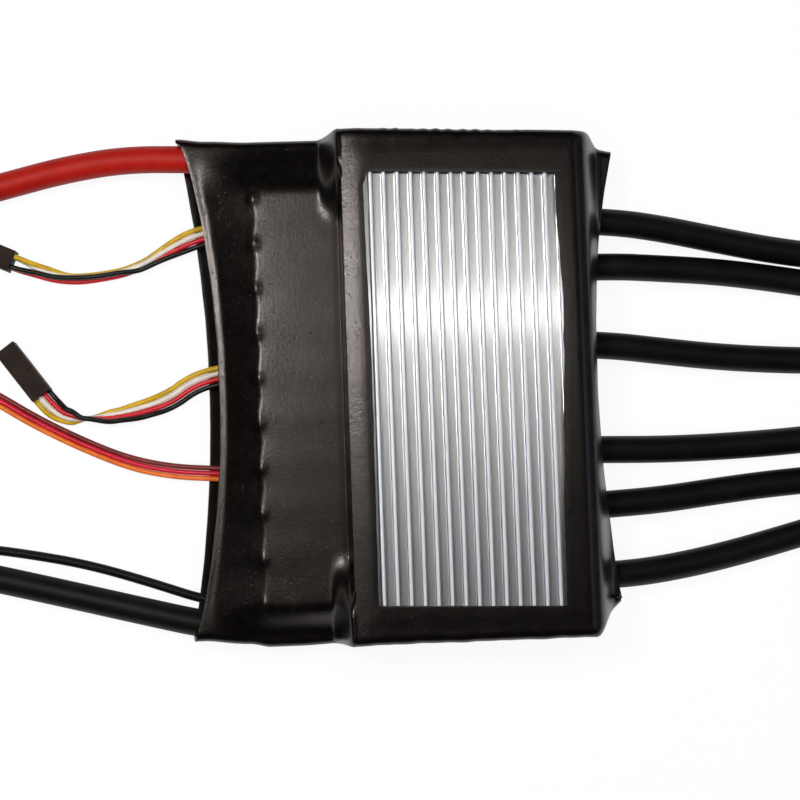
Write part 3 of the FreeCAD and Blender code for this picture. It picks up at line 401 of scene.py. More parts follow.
def stranded_tip(name, route, radius, length):
    """The bare end of a lead: twisted, tinned strands, drawn in a little where they were cut."""
    start, before = Vector(route[-1]), Vector(route[-2])
    direction = (start - before).normalized()
    bpy.ops.object.select_all(action="DESELECT")
    bpy.ops.mesh.primitive_cylinder_add(vertices=48, radius=radius, depth=length)
    tip = bpy.context.active_object
    tip.name = name
    bpy.ops.object.mode_set(mode="EDIT")
    bpy.ops.mesh.select_all(action="DESELECT")
    shape = bmesh.from_edit_mesh(tip.data)
    for edge in shape.edges:
        low, high = edge.verts
        edge.select = abs(low.co.z - high.co.z) > length / 2
    bmesh.update_edit_mesh(tip.data)
    bpy.ops.mesh.subdivide(number_cuts=9)
    bpy.ops.object.mode_set(mode="OBJECT")
    for vertex in tip.data.vertices:
        place = vertex.co
        share = place.z / length + 0.5
        angle = math.atan2(place.y, place.x)
        ridge = 1 - STRAND_DEPTH * (1 - abs(math.cos(STRANDS / 2 * angle + STRAND_TWIST * share)))
        end = 1 - CUT_TAPER * max(0.0, share - CUT_FROM) / (1 - CUT_FROM)
        place.x *= ridge * end
        place.y *= ridge * end
    turn = direction.to_track_quat("Z", "Y").to_matrix().to_4x4()
    tip.data.transform(Matrix.Scale(MM, 4) @ Matrix.Translation(start + direction * (length / 2)) @ turn)
    tip.data.materials.append(finishes["tinned_copper"])
    bpy.ops.object.select_all(action="DESELECT")
    tip.select_set(True)
    bpy.ops.object.shade_smooth_by_angle(angle=math.radians(40))
    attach(tip, "root")
    return tip


def length_of(points):
    return sum((after - before).length for before, after in zip(points, points[1:]))


def heavy_lead(name, node, route, radius, slot, core_radius, tip_length):
    """A round lead along its route, with its bare end."""
    measure = route_curve("measure", route)
    length = length_of(line_of(measure))
    bpy.data.objects.remove(measure)
    lead = route_curve(name, route, radius)
    lead.data.materials.append(finishes[slot])
    tip = stranded_tip(name + "_tip", route, core_radius, tip_length)
    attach(lead, "root")
    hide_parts(node)
    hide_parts("lead_tips")


MOTOR_EXITS = [(47.8, 37.6, CORE_Z), (46.2, 26.8, CORE_Z), (44.6, 8.6, CORE_Z), (45.2, -16.1, CORE_Z),
               (46.3, -29.1, CORE_Z), (48.9, -45.5, CORE_Z)]
for index, (route, leaves) in enumerate(zip(MOTOR_ROUTES, MOTOR_EXITS), 1):
    heavy_lead(f"motor_lead_{index}_insulation", f"motor_lead_{index}", route, LEAD_RADIUS,
               "black_silicone", CORE_RADIUS, TIP_LENGTH)
heavy_lead("battery_positive_insulation", "battery_lead_positive", POSITIVE_ROUTE, LEAD_RADIUS,
           "red_silicone", CORE_RADIUS, TIP_LENGTH)
heavy_lead("battery_negative_insulation", "battery_lead_negative", NEGATIVE_ROUTE, LEAD_RADIUS,
           "black_silicone", CORE_RADIUS, TIP_LENGTH)
heavy_lead("sense_insulation", "sense_lead", SENSE_ROUTE, SENSE_RADIUS, "black_silicone",
           SENSE_CORE_RADIUS, SENSE_TIP_LENGTH)


def between(stops, value):
    """Amounts between given stops of (place, amount, amount ...), whose places fall from row to row."""
    if value >= stops[0][0]:
        return stops[0][1:]
    for (high, *first), (low, *second) in zip(stops, stops[1:]):
        if value >= low:
            share = (high - value) / (high - low)
            share = share * share * (3 - 2 * share)
            return [a + (b - a) * share for a, b in zip(first, second)]
    return stops[-1][1:]


def flat_lead(name, nodes, points, places_at, slots, radius):
    """Bonded conductors side by side. places_at gives each one's (sideways, up) in mm at a given x."""
    guide = route_curve("guide", points)
    centre = line_of(guide)
    bpy.data.objects.remove(guide)
    data = bpy.data.curves.new(name, "CURVE")
    data.dimensions = "3D"
    data.bevel_depth = radius * MM
    data.bevel_resolution = 3
    data.use_fill_caps = True
    for strand, slot in enumerate(slots):
        data.materials.append(finishes[slot])
        spline = data.splines.new("POLY")
        spline.points.add(len(centre) - 1)
        spline.material_index = strand
        for index, place in enumerate(centre):
            ahead = (centre[min(index + 1, len(centre) - 1)] - centre[max(index - 1, 0)]).normalized()
            right = ahead.cross(Vector((0, 0, 1))).normalized()
            sideways, up = places_at(place.x / MM)[strand]
            moved = place + (right * sideways + Vector((0, 0, up))) * MM
            spline.points[index].co = (*moved, 1)
            spline.points[index].radius = 1
    maker = bpy.data.objects.new(name + "_maker", data)
    bpy.context.scene.collection.objects.link(maker)
    bpy.context.view_layer.update()
    mesh = bpy.data.meshes.new_from_object(maker)
    bpy.data.objects.remove(maker)
    lead = bpy.data.objects.new(name, mesh)
    bpy.context.scene.collection.objects.link(lead)
    for polygon in mesh.polygons:
        polygon.use_smooth = True
    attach(lead, "root")
    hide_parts(*nodes)


def rolled(count, pitch, angle):
    """Places of bonded conductors when the flat lead is rolled by an angle about its own line."""
    from_middle = [(0.5 * (count - 1) - strand) * pitch for strand in range(count)]
    return [(out * math.cos(angle), out * math.sin(angle)) for out in from_middle]


# At each x, sideways and up of yellow, white, red and black: flat at the sleeve, then bunched, then as
# the plug's two by two grid.
DATA_A_STOPS = [
    (-48, 1.95, 0.0, 0.65, 0.0, -0.65, 0.0, -1.95, 0.0),
    (-60, 0.75, -0.4, 0.15, 0.3, -0.50, -0.3, -0.95, 0.5),
    (-66, 0.55, -0.6, -0.05, 0.3, -0.70, -0.5, -0.15, 1.2),
    (-76, 0.55, -0.6, 0.10, 0.2, -0.90, -0.3, -0.05, 1.2),
    (-83, 1.30, 0.2, 0.45, 0.2, -0.95, -0.4, -0.40, 1.0),
    (-90, 1.27, 1.27, 1.27, -1.27, -1.27, -1.27, -1.27, 1.27),
]
# At each x, how far the flat lead is rolled, in degrees.
DATA_B_ROLL = [(-54, 0), (-60, -22), (-67, -48), (-74, -88), (-78, -135), (-83, -180)]
SERVO_ROLL = [(-46, 0), (-58, -12), (-70, -28), (-92, -28), (-103, 0)]


def data_a_places(x):
    flat = between(DATA_A_STOPS, x)
    return list(zip(flat[::2], flat[1::2]))


def data_b_places(x):
    return rolled(4, CONDUCTOR_PITCH, math.radians(between(DATA_B_ROLL, x)[0]))


def servo_places(x):
    return rolled(3, SERVO_PITCH, math.radians(between(SERVO_ROLL, x)[0]))


DATA_SLOTS = ["yellow_insulation", "white_insulation", "red_insulation", "black_insulation"]
SERVO_SLOTS = ["brown_insulation", "crimson_insulation", "orange_insulation"]
DATA_COLOURS = ("yellow", "white", "red", "black")
SERVO_NODES = ["servo_lead_brown", "servo_lead_red", "servo_lead_orange", "servo_lead_coil"]
flat_lead("data_lead_a_conductors", [f"data_lead_a_{colour}" for colour in DATA_COLOURS], DATA_A_ROUTE,
          data_a_places, DATA_SLOTS, CONDUCTOR_RADIUS)
flat_lead("data_lead_b_conductors", [f"data_lead_b_{colour}" for colour in DATA_COLOURS], DATA_B_ROUTE,
          data_b_places, DATA_SLOTS, CONDUCTOR_RADIUS)
flat_lead("servo_lead_conductors", SERVO_NODES, servo_points(),
          servo_places, SERVO_SLOTS, SERVO_RADIUS)

# ---- Heatsink ----

HEATSINK_LEFT, HEATSINK_RIGHT = -12.3, 42.7
HEATSINK_HALF_LENGTH = 57.5
HEATSINK_BOTTOM, HEATSINK_BASE_TOP, RIB_TOP = 17.0, 20.0, 22.0
RIB_COUNT, RIB_PITCH, RIB_WIDTH, FIRST_RIB = 17, 3.06, 0.85, -9.28
CREST_ROUNDING, FOOT_FILLET = 0.26, 0.22
# The shown extrusion ends this much sooner at its upper end, where the sleeve tapers over it.
SAWN_SHORT = 2.2
CLOSE = 0.01


def select_only(piece):
    bpy.ops.object.select_all(action="DESELECT")
    bpy.context.view_layer.objects.active = piece
    piece.select_set(True)


def edit(piece):
    """Only this piece selected, in edit mode, with nothing in it selected. Returns its editable mesh."""
    select_only(piece)
    bpy.ops.object.mode_set(mode="EDIT")
    bpy.ops.mesh.select_all(action="DESELECT")
    return bmesh.from_edit_mesh(piece.data)


def done():
    bpy.ops.object.mode_set(mode="OBJECT")


def settle(piece):
    """Puts a modelled piece's place into its mesh, in metres."""
    select_only(piece)
    bpy.ops.object.transform_apply(location=True, rotation=True, scale=True)
    piece.data.transform(Matrix.Scale(MM, 4))


def apply_modifiers(piece):
    select_only(piece)
    for modifier in list(piece.modifiers):
        bpy.ops.object.modifier_apply(modifier=modifier.name)


def dress(piece, slot, *nodes):
    """Finish, slot, body and the nodes that the piece stands for."""
    piece.data.materials.clear()
    piece.data.materials.append(finishes[slot])
    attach(piece, "root")
    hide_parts(*nodes)


def from_rib(x):
    """How far x is from the nearest rib's middle, and whether that rib is one of the extrusion's."""
    row = (x - FIRST_RIB) / RIB_PITCH
    return abs(row - round(row)) * RIB_PITCH, -0.5 < row < RIB_COUNT - 0.5


def make_heatsink():
    """A plate whose strips are drawn up into ribs, with rounded crests and filleted feet."""
    bpy.ops.object.select_all(action="DESELECT")
    bpy.ops.mesh.primitive_cube_add(size=1, location=(
        (HEATSINK_LEFT + HEATSINK_RIGHT) / 2, -SAWN_SHORT / 2, (HEATSINK_BOTTOM + HEATSINK_BASE_TOP) / 2))
    plate = bpy.context.active_object
    plate.name = "extruded_heatsink"
    plate.scale = (HEATSINK_RIGHT - HEATSINK_LEFT, 2 * HEATSINK_HALF_LENGTH - SAWN_SHORT,
                   HEATSINK_BASE_TOP - HEATSINK_BOTTOM)
    bpy.ops.object.transform_apply(location=True, rotation=True, scale=True)
    edit(plate)
    for rib in range(RIB_COUNT):
        for side in (-1, 1):
            bpy.ops.mesh.select_all(action="SELECT")
            x = FIRST_RIB + rib * RIB_PITCH + side * RIB_WIDTH / 2
            bpy.ops.mesh.bisect(plane_co=(x, 0, 0), plane_no=(1, 0, 0))
    bpy.ops.mesh.select_all(action="DESELECT")
    bpy.ops.mesh.select_mode(type="FACE")
    shape = bmesh.from_edit_mesh(plate.data)
    for face in shape.faces:
        middle = face.calc_center_median()
        away, on_plate = from_rib(middle.x)
        face.select = middle.z > HEATSINK_BASE_TOP - CLOSE and away < RIB_WIDTH / 8 and on_plate
    bmesh.update_edit_mesh(plate.data)
    bpy.ops.mesh.extrude_region_move(TRANSFORM_OT_translate={"value": (0, 0, RIB_TOP - HEATSINK_BASE_TOP)})
    bpy.ops.mesh.select_all(action="DESELECT")
    bpy.ops.mesh.select_mode(type="EDGE")
    shape = bmesh.from_edit_mesh(plate.data)
    for edge in shape.edges:
        low, high = edge.verts
        lengthwise = abs(low.co.y - high.co.y) > 1
        edge.select = min(low.co.z, high.co.z) > RIB_TOP - CLOSE and lengthwise
    bmesh.update_edit_mesh(plate.data)
    bpy.ops.mesh.bevel(offset=CREST_ROUNDING, segments=6, affect="EDGES")
    bpy.ops.mesh.select_all(action="DESELECT")
    shape = bmesh.from_edit_mesh(plate.data)
    for edge in shape.edges:
        low, high = edge.verts
        away, _ = from_rib((low.co.x + high.co.x) / 2)
        lengthwise = abs(low.co.y - high.co.y) > 1
        level = all(abs(end.co.z - HEATSINK_BASE_TOP) < CLOSE for end in (low, high))
        edge.select = level and lengthwise and abs(away - RIB_WIDTH / 2) < CLOSE
    bmesh.update_edit_mesh(plate.data)
    bpy.ops.mesh.bevel(offset=FOOT_FILLET, segments=3, affect="EDGES")
    done()
    settle(plate)
    bpy.ops.object.shade_smooth_by_angle(angle=math.radians(5))
    dress(plate, "heatsink", "heatsink")


make_heatsink()

# ---- Sleeve ----
# Sizes are in mm. Where a change along the sleeve is smooth, its name holds the two places it runs between,
# with the amount before them if there is one. A ripple's name holds its amount, size and seed.

SLEEVE_WALL = 0.6
SLEEVE_HALF = 58.6
SLEEVE_CORNER = 2.0
CORNER_SHARE = 0.3
RIM_ROUNDING = 0.22
LEFT_EDGE, LEFT_DEPTH, LEFT_STEP, LEFT_STEP_CURVE = -50.7, 5.6, 2.9, 0.35
RIGHT_EDGE, RIGHT_DEPTH, RIGHT_HALF = 50.7, 6.4, 54
RIGHT_LOWER_DRAW = (1.2, 30, 52)
LEFT_MOUTH, RIGHT_MOUTH = -38.0, 43.2
MOUTH_LIFT = 0.9
LEFT_LIP_RIPPLE, RIGHT_LIP_RIPPLE = (0.15, 7, 11), (0.2, 8, 17)
PLATEAU_Z, BODY_Z, LIP_Z, RIGHT_LIP_Z = 15.3, 22.8, 11.0, 13.2
CAPACITOR_END, CAPACITOR_PITCH, CAPACITOR_MIDDLE, CAPACITOR_COUNT = -33.0, 10.3, -1.2, 10

# The plateau over the capacitors rises towards the body, sinks a little between two of them and falls off
# past both ends of their row.
PLATEAU_RISE, PLATEAU_RUN = 1.22, 18
UPPER_LEVEL, LOWER_LEVEL = (57.0, 46.0), (57.0, 49.0)
VALLEY_DEPTH, RIM_VALLEY = 0.03, (0.05, -29.5, -34.0)
UPPER_FALL_Z, UPPER_FALL = 11.3, (44.6, 57.0)
LOWER_FALL_Z, LOWER_FALL = 10.8, (49.0, 57.0)
# The slope from the capacitors' rims down to the left lip, which is rolled.
RIM_SETBACK, RIM_BOW, RIM_RIPPLE = 0.4, 0.5, (0.3, 9, 3)
LIP_ROLL, LIP_ROLL_RISE, LIP_ROLL_LEVEL = 1.7, 0.15, (58, 8)
SLOPE_CURVE = 1.04
KNOB_HEIGHT, KNOB_SIZE, KNOB_BACK, KNOB_LOW = 0.3, (1.9, 0.2), 0.2, 1.4
# The step up to the body is steep in the middle and broad towards the sleeve's sides.
STEEP_STEP, BROAD_STEP, BROAD_SIDES = (-13.5, -12.95), (-18.3, -12.95), (37, 54)
DROOP, DROOP_START, DROOP_RUN, DROOP_CURVE, DROOP_END = 0.78, -8.0, 4.7, 1.15, (-13.5, -12.9)
FILM_WAVES, FILM_GRAIN = (0.022, 7, 41), (0.003, 2.4, 43)
# The body's right end comes down in a shoulder and then to the lip.
SHOULDER, SHOULDER_FALL, RIGHT_FALL = 1.5, (40.0, 43.4), (42.4, 47.4)
RIB_DRAPE, DRAPE_LEFT, DRAPE_RIGHT, DRAPE_SIDES = 0.22, (-11.0, -9.0), (41.5, 39.5), (52.0, 56.0)

# How far the sleeve's upper and lower sides flare at the left mouth and draw in elsewhere.
UPPER_FLARE, LOWER_FLARE = (0.7, -44, -50.5), (0.1, -44, -50.5)
UPPER_TAPER, TAPER_START, TAPER_RUN = 0.042, -4, 45.0
UPPER_CORNER, UPPER_TIP = (2.4, 44.2, 47.6), (1.1, 45.0, 51.0)
SIDE_DRAPE, SIDE_DRAPE_LEFT, SIDE_DRAPE_RIGHT = 0.27, (-9, -6), (32, 22)
LOWER_CORNER, LOWER_TIP = (4.5, 41.5, 46.5), (3.6, 45.0, 50.5)
LOWER_RIPPLE, LOWER_RIPPLE_START = (0.28, 4.5, 7), (-16, -8)
LOWER_BULGE, LOWER_BULGE_END, LOWER_MOUTH_DRAW = (0.85, -37, -32), (-6, -26), (1.6, -35, -48)
WAIST, WAIST_END = (0.5, -13.0, -16.0), (-44, -34)

# The window, and how its hand-made cuts stray from the square. RIGHT_CUT gives rows of y and shift.
WINDOW_LEFT, WINDOW_RIGHT, WINDOW_BOTTOM, WINDOW_TOP = -7.6, 35.6, -50.5, 47.5
RIGHT_CUT = ((49.0, 0.2), (40.0, 0.1), (30.0, 0.55), (18.0, 1.0), (8.0, 0.7), (-11.0, 0.0), (-35.0, -0.7),
             (-49.0, -0.8))
LEFT_CUT, LEFT_CUT_LEAN, LEFT_CUT_HALF, LEFT_CUT_BEND = -0.4, 0.2, 49, (0.8, 0, 46)
UPPER_CUT, UPPER_CUT_LEAN = 0.85, 1.45
LOWER_CUT, LOWER_CUT_LEAN = 0.8, 1.5
CUT_FADE_LEFT, CUT_FADE_RIGHT, CUT_FADE_END = -12.8, 42.5, 56
CORNER_ACROSS, CORNER_ALONG, CORNER_IN, CORNER_DOWN = 2.4, 3.5, 0.8, 1.2
LEFT_CUT_RIPPLE, RIGHT_CUT_RIPPLE = (0.10, 6, 21), (0.14, 4, 23)
UPPER_CUT_RIPPLE, LOWER_CUT_RIPPLE = (0.10, 5, 25), (0.10, 5, 27)


def clamp(share):
    return min(1.0, max(0.0, share))


def smooth(start, end, value):
    """0 at start and 1 at end, smooth between and level past both. start may be the greater."""
    share = clamp((value - start) / (end - start))
    return share * share * (3 - 2 * share)


def change(value, amount, start, end):
    return amount * smooth(start, end, value)


def ripple(x, y, amount, size, seed):
    return amount * noise.noise(Vector((x / size, y / size, seed)))


def capacitor_swell(y):
    """1 over the middle of a capacitor and 0 between two."""
    row = (y - CAPACITOR_MIDDLE) / CAPACITOR_PITCH + CAPACITOR_COUNT / 2
    if not 0 <= row <= CAPACITOR_COUNT:
        return 0.0
    return math.sin(math.pi * row) ** 2


def rim_knob(x, y):
    """1 at the small hard corner that each capacitor's rim presses into the sleeve, and 0 away from it."""
    row = round((y + KNOB_LOW - CAPACITOR_MIDDLE) / CAPACITOR_PITCH - 0.5) + 0.5
    if abs(row) > CAPACITOR_COUNT / 2:
        return 0.0
    sideways = y + KNOB_LOW - CAPACITOR_MIDDLE - row * CAPACITOR_PITCH
    away = math.hypot(x - CAPACITOR_END + KNOB_BACK, sideways)
    return smooth(*KNOB_SIZE, away)


def rib_hollow(x):
    """0 over a rib of the heatsink and 1 between two, where the sleeve sags a little."""
    return abs(math.sin(math.pi * (x - FIRST_RIB) / RIB_PITCH))


def left_lip(y, z):
    """Where the left mouth's edge lies along x: bowed inwards, and set back at the top."""
    share = max(0.0, 1 - (y / SLEEVE_HALF) ** 2)
    upper = LEFT_STEP * min(1.0, z / LIP_Z) * share ** LEFT_STEP_CURVE
    return LEFT_EDGE + LEFT_DEPTH * share + upper + ripple(y, z, *LEFT_LIP_RIPPLE)


def right_lip(y):
    """Where the right mouth's edge lies along x: bowed inwards between the outer motor leads."""
    share = max(0.0, 1 - (y / RIGHT_HALF) ** 2)
    bowed = RIGHT_EDGE - RIGHT_DEPTH * share - change(-y, *RIGHT_LOWER_DRAW)
    return bowed + ripple(y, 0, *RIGHT_LIP_RIPPLE)


def plateau_height(x, y, swell):
    level = smooth(*UPPER_LEVEL, y) * smooth(*LOWER_LEVEL, -y)
    height = PLATEAU_Z + PLATEAU_RISE * clamp((x - CAPACITOR_END) / PLATEAU_RUN) * level
    height -= (VALLEY_DEPTH + change(x, *RIM_VALLEY)) * (1 - swell)
    height += (UPPER_FALL_Z - height) * smooth(*UPPER_FALL, y)
    height += (LOWER_FALL_Z - height) * smooth(*LOWER_FALL, -y)
    return height


def top_height(x, y):
    """Height of the sleeve's upper skin over what it was shrunk on."""
    swell = capacitor_swell(y)
    plateau = plateau_height(x, y, swell)
    rim = CAPACITOR_END + RIM_SETBACK - RIM_BOW * swell + ripple(0, y, *RIM_RIPPLE)
    lip_edge = left_lip(y, LIP_Z)
    roll = min(LIP_ROLL, max(0.0, x - lip_edge))
    lip = LIP_Z + LIP_ROLL_RISE * roll * smooth(*LIP_ROLL_LEVEL, abs(y))
    fall = clamp((rim - x) / (rim - lip_edge - LIP_ROLL)) ** SLOPE_CURVE
    height = plateau + (lip - plateau) * fall + KNOB_HEIGHT * rim_knob(x, y)
    steep, broad = smooth(*STEEP_STEP, x), smooth(*BROAD_STEP, x)
    height += (BODY_Z - height) * (steep + (broad - steep) * smooth(*BROAD_SIDES, abs(y)))
    height -= DROOP * clamp((DROOP_START - x) / DROOP_RUN) ** DROOP_CURVE * smooth(*DROOP_END, x)
    height += ripple(x, y, *FILM_WAVES) + ripple(x, y, *FILM_GRAIN)
    height -= SHOULDER * smooth(*SHOULDER_FALL, x)
    height -= (BODY_Z - SHOULDER - RIGHT_LIP_Z) * smooth(*RIGHT_FALL, x)
    over_ribs = smooth(*DRAPE_LEFT, x) * smooth(*DRAPE_RIGHT, x) * smooth(*DRAPE_SIDES, abs(y))
    return height - RIB_DRAPE * over_ribs * rib_hollow(x)


def half_width(x, side):
    """How far the sleeve reaches to its upper side, 1, or its lower side, -1, in the section at x."""
    width = SLEEVE_HALF + change(x, *(UPPER_FLARE if side > 0 else LOWER_FLARE))
    if side > 0:
        taper = UPPER_TAPER * min(TAPER_RUN, max(0.0, x - TAPER_START))
        width -= taper + change(x, *UPPER_CORNER) + change(x, *UPPER_TIP)
        width -= SIDE_DRAPE * rib_hollow(x) * smooth(*SIDE_DRAPE_LEFT, x) * smooth(*SIDE_DRAPE_RIGHT, x)
    else:
        width -= change(x, *LOWER_CORNER) + change(x, *LOWER_TIP)
        width += ripple(x, 0, *LOWER_RIPPLE) * smooth(*LOWER_RIPPLE_START, x)
        width += change(x, *LOWER_BULGE) * smooth(*LOWER_BULGE_END, x) - change(x, *LOWER_MOUTH_DRAW)
    width -= change(x, *WAIST) * smooth(*WAIST_END, x)
    return width


def window_shift(x, y):
    """How far the sleeve's mesh moves along x and y, so that the window's hand-made cuts aren't square."""
    across = clamp((x - WINDOW_LEFT) / (WINDOW_RIGHT - WINDOW_LEFT))
    left = LEFT_CUT + LEFT_CUT_LEAN * y / LEFT_CUT_HALF - change(y, *LEFT_CUT_BEND)
    left += ripple(0, y, *LEFT_CUT_RIPPLE)
    right = between(RIGHT_CUT, y)[0] + ripple(0, y, *RIGHT_CUT_RIPPLE)
    near = smooth(CUT_FADE_LEFT, WINDOW_LEFT, x) * smooth(CUT_FADE_RIGHT, WINDOW_RIGHT, x)
    corner = (smooth(WINDOW_LEFT + CORNER_ACROSS, WINDOW_LEFT, x)
              * smooth(WINDOW_TOP - CORNER_ALONG, WINDOW_TOP, y))
    sideways = (left + (right - left) * across + CORNER_IN * corner) * near
    if y > 0:
        cut = UPPER_CUT - UPPER_CUT_LEAN * across + ripple(x, 0, *UPPER_CUT_RIPPLE) - CORNER_DOWN * corner
        lengthwise = cut * smooth(CUT_FADE_END, WINDOW_TOP, y)
    else:
        cut = LOWER_CUT - LOWER_CUT_LEAN * across + ripple(x, 0, *LOWER_CUT_RIPPLE)
        lengthwise = cut * smooth(-CUT_FADE_END, WINDOW_BOTTOM, y)
    return sideways, lengthwise * near


def section_point(x, kind):
    """One point of the sleeve's outside in the section at x, as (y, z)."""
    name, share = kind
    side = {"right": 1, "left": -1}.get(name, 1 if share > 0 else -1)
    flat = half_width(x, side) - SLEEVE_CORNER
    if name == "bottom":
        return share * flat, 0.0
    if name == "top":
        return share, top_height(x, share)
    if name == "strip":
        inner = WINDOW_TOP if side > 0 else -WINDOW_BOTTOM
        y = side * (inner + (flat - inner) * abs(share))
        return y, top_height(x, y)
    top = top_height(x, side * flat)
    radius = min(SLEEVE_CORNER, top / 2)
    if share < CORNER_SHARE:
        angle = math.pi / 2 * share / CORNER_SHARE
        return side * (flat + radius * math.sin(angle)), radius * (1 - math.cos(angle))
    if share > 1 - CORNER_SHARE:
        angle = math.pi / 2 * (1 - share) / CORNER_SHARE
        return side * (flat + radius * math.sin(angle)), top - radius * (1 - math.cos(angle))
    middle = (share - CORNER_SHARE) / (1 - 2 * CORNER_SHARE)
    return side * (flat + radius), radius + (top - 2 * radius) * middle


def steps(*stops):
    """Places along a line: pairs of (place, number of steps to the next one)."""
    places = []
    for (start, count), (end, _) in zip(stops, stops[1:]):
        places += [start + (end - start) * index / count for index in range(count)]
    return places + [stops[-1][0]]


def run(name, *stops, sign=1):
    """One run of a section's points, without its last one, which starts the next run."""
    return [(name, sign * place) for place in steps(*stops)[:-1]]


# The sections' places along x, and a section's points in their order round it. A top point holds its y.
# A strip point holds its share of the way from the window's end to the sleeve's side, and its sign is the
# side it is on. The points have to number a multiple of 4, as they start as a cylinder's.
COLUMNS = steps((LEFT_EDGE, 16), (-40.0, 4), (LEFT_MOUTH, 30), (-30.0, 9), (-19.0, 30), (-11.5, 5),
                (WINDOW_LEFT, 62), (WINDOW_RIGHT, 6), (40.2, 10), (RIGHT_MOUTH, 20), (RIGHT_EDGE, 0))
STRIP_START = 0.001
AROUND = (run("bottom", (-1.0, 44), (1.0, 0)) + run("right", (0.0, 20), (1.0, 0))
          + run("strip", (1.0, 10), (0.0, 0)) + run("top", (WINDOW_TOP, 112), (WINDOW_BOTTOM, 0))
          + run("strip", (STRIP_START, 10), (1.0, 0), sign=-1) + run("left", (1.0, 20), (0.0, 0)))


def skin_point(start_x, kind):
    """Place of one point of the sleeve's outside, with the window's cuts and both mouths' edges in it."""
    x = start_x
    y, z = section_point(x, kind)
    if kind[0] in ("top", "strip"):
        sideways, lengthwise = window_shift(x, y)
        x, y = x + sideways, y + lengthwise
        z = top_height(x, y)
    if start_x < LEFT_MOUTH:
        share = (start_x - LEFT_MOUTH) / (LEFT_EDGE - LEFT_MOUTH)
        x = LEFT_MOUTH + (left_lip(y, z) - LEFT_MOUTH) * share
        y, z = section_point(x, kind)
        if kind[0] == "bottom":
            z += MOUTH_LIFT * share * share
    if start_x > RIGHT_MOUTH:
        share = (start_x - RIGHT_MOUTH) / (RIGHT_EDGE - RIGHT_MOUTH)
        x = RIGHT_MOUTH + (right_lip(y) - RIGHT_MOUTH) * share
        y, z = section_point(x, kind)
    return x, y, z


def make_sleeve():
    """A tube shaped section by section, with its window cut out, a wall and rounded rims."""
    bpy.ops.object.select_all(action="DESELECT")
    bpy.ops.mesh.primitive_cylinder_add(vertices=len(AROUND), radius=1, depth=1, end_fill_type="NOTHING")
    sleeve = bpy.context.active_object
    sleeve.name = "shrunk_sleeve"
    shape = edit(sleeve)
    for edge in shape.edges:
        low, high = edge.verts
        edge.select = abs(low.co.z - high.co.z) > 0.5
    bmesh.update_edit_mesh(sleeve.data)
    bpy.ops.mesh.subdivide(number_cuts=len(COLUMNS) - 2)
    shape = bmesh.from_edit_mesh(sleeve.data)
    grid = {}
    for vertex in shape.verts:
        column = round((vertex.co.z + 0.5) * (len(COLUMNS) - 1))
        place = round(math.atan2(vertex.co.y, vertex.co.x) / (2 * math.pi) * len(AROUND)) % len(AROUND)
        grid[vertex] = (COLUMNS[column], AROUND[place])
    for face in shape.faces:
        xs = [grid[vertex][0] for vertex in face.verts]
        kinds = [grid[vertex][1] for vertex in face.verts]
        inside = all(name == "top" or (name == "strip" and abs(share) < CLOSE) for name, share in kinds)
        face.select = inside and min(xs) > WINDOW_LEFT - CLOSE and max(xs) < WINDOW_RIGHT + CLOSE
    for vertex, (x, kind) in grid.items():
        vertex.co = skin_point(x, kind)
    bmesh.update_edit_mesh(sleeve.data)
    bpy.ops.mesh.delete(type="FACE")
    bpy.ops.mesh.select_all(action="SELECT")
    bpy.ops.mesh.normals_make_consistent(inside=False)
    done()
    wall = sleeve.modifiers.new("wall", "SOLIDIFY")
    wall.thickness = SLEEVE_WALL
    wall.offset = -1
    rim = sleeve.modifiers.new("rim", "BEVEL")
    rim.width, rim.segments = RIM_ROUNDING, 3
    rim.limit_method, rim.angle_limit = "ANGLE", math.radians(55)
    apply_modifiers(sleeve)
    settle(sleeve)
    bpy.ops.object.shade_smooth_by_angle(angle=math.radians(50))
    dress(sleeve, "sleeve", "heat_shrink_sleeve")


make_sleeve()

# ---- Floor and light ----

FLOOR_WHITE = 0.9


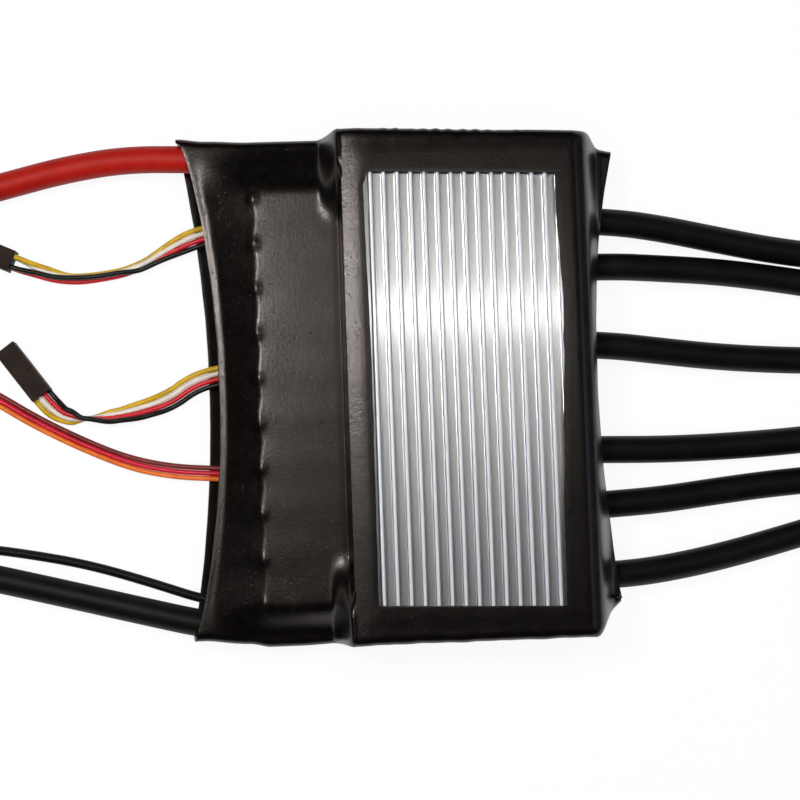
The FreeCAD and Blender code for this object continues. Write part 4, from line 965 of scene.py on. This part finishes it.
def make_floor():
    """A pale table top. What sees it straight or in a mirror sees mostly plain white."""
    bpy.ops.object.select_all(action="DESELECT")
    bpy.ops.mesh.primitive_plane_add(size=6, location=(0, 0, -0.0001))
    floor = bpy.context.active_object
    floor.name = "table_top"
    finish = Finish("table_top")
    rays = [finish.node("LightPath", {}, {}, output) for output in
            ("Is Camera Ray", "Is Glossy Ray", "Is Transmission Ray")]
    white = finish.node("Emission", {}, {"Color": (1, 1, 1, 1), "Strength": 1})
    paper = finish.node("BsdfPrincipled", {}, {"Base Color": (0.95, 0.95, 0.95, 1), "Roughness": 0.9})
    share = finish.node("Math", {"operation": "ADD", "use_clamp": True}, {0: rays[0] + rays[1], 1: rays[2]})
    mixed = finish.node("MixShader", {}, {0: share * FLOOR_WHITE, 1: paper, 2: white})
    finish.node("OutputMaterial", {}, {"Surface": mixed})
    floor.data.materials.append(finish.material)


def area_lamp(name, place, aim, size, size_y, power):
    """A rectangular lamp at a place, turned to its aim, or straight down with its sides along x and y.
    Places and sizes are in mm, and the power is in watts."""
    data = bpy.data.lights.new(name, "AREA")
    data.shape = "RECTANGLE"
    data.size, data.size_y, data.energy = size * MM, size_y * MM, power
    lamp = bpy.data.objects.new(name, data)
    bpy.context.scene.collection.objects.link(lamp)
    lamp.location = Vector(place) * MM
    if aim is not None:
        lamp.rotation_euler = (Vector(aim) * MM - lamp.location).to_track_quat("-Z", "Y").to_euler()
    return lamp


def make_light():
    world = bpy.data.worlds.new("room")
    world.use_nodes = True
    room = world.node_tree.nodes["Background"].inputs
    room["Color"].default_value = tone(255, 251, 247)
    room["Strength"].default_value = 0.02
    bpy.context.scene.world = world
    area_lamp("ceiling_strip", place=(47.5, 58, 442), aim=None, size=150, size_y=20, power=0.070)
    area_lamp("ceiling_panel", place=(60, 40, 700), aim=None, size=320, size_y=400, power=0.02)
    area_lamp("left_lamp", place=(-185, 76, 440), aim=(-20, 10, 15), size=60, size_y=60, power=0.66)
    window = area_lamp("window_light", place=(420, 20, 330), aim=(40, 0, 10), size=260, size_y=260,
                       power=0.16)
    window.data.color = (0.62, 0.70, 1.0)
    fill = area_lamp("fill", place=(0, 0, 900), aim=None, size=900, size_y=900, power=8.0)
    fill.visible_glossy = False


make_floor()
make_light()
bpy.context.scene.view_settings.view_transform = "Standard"
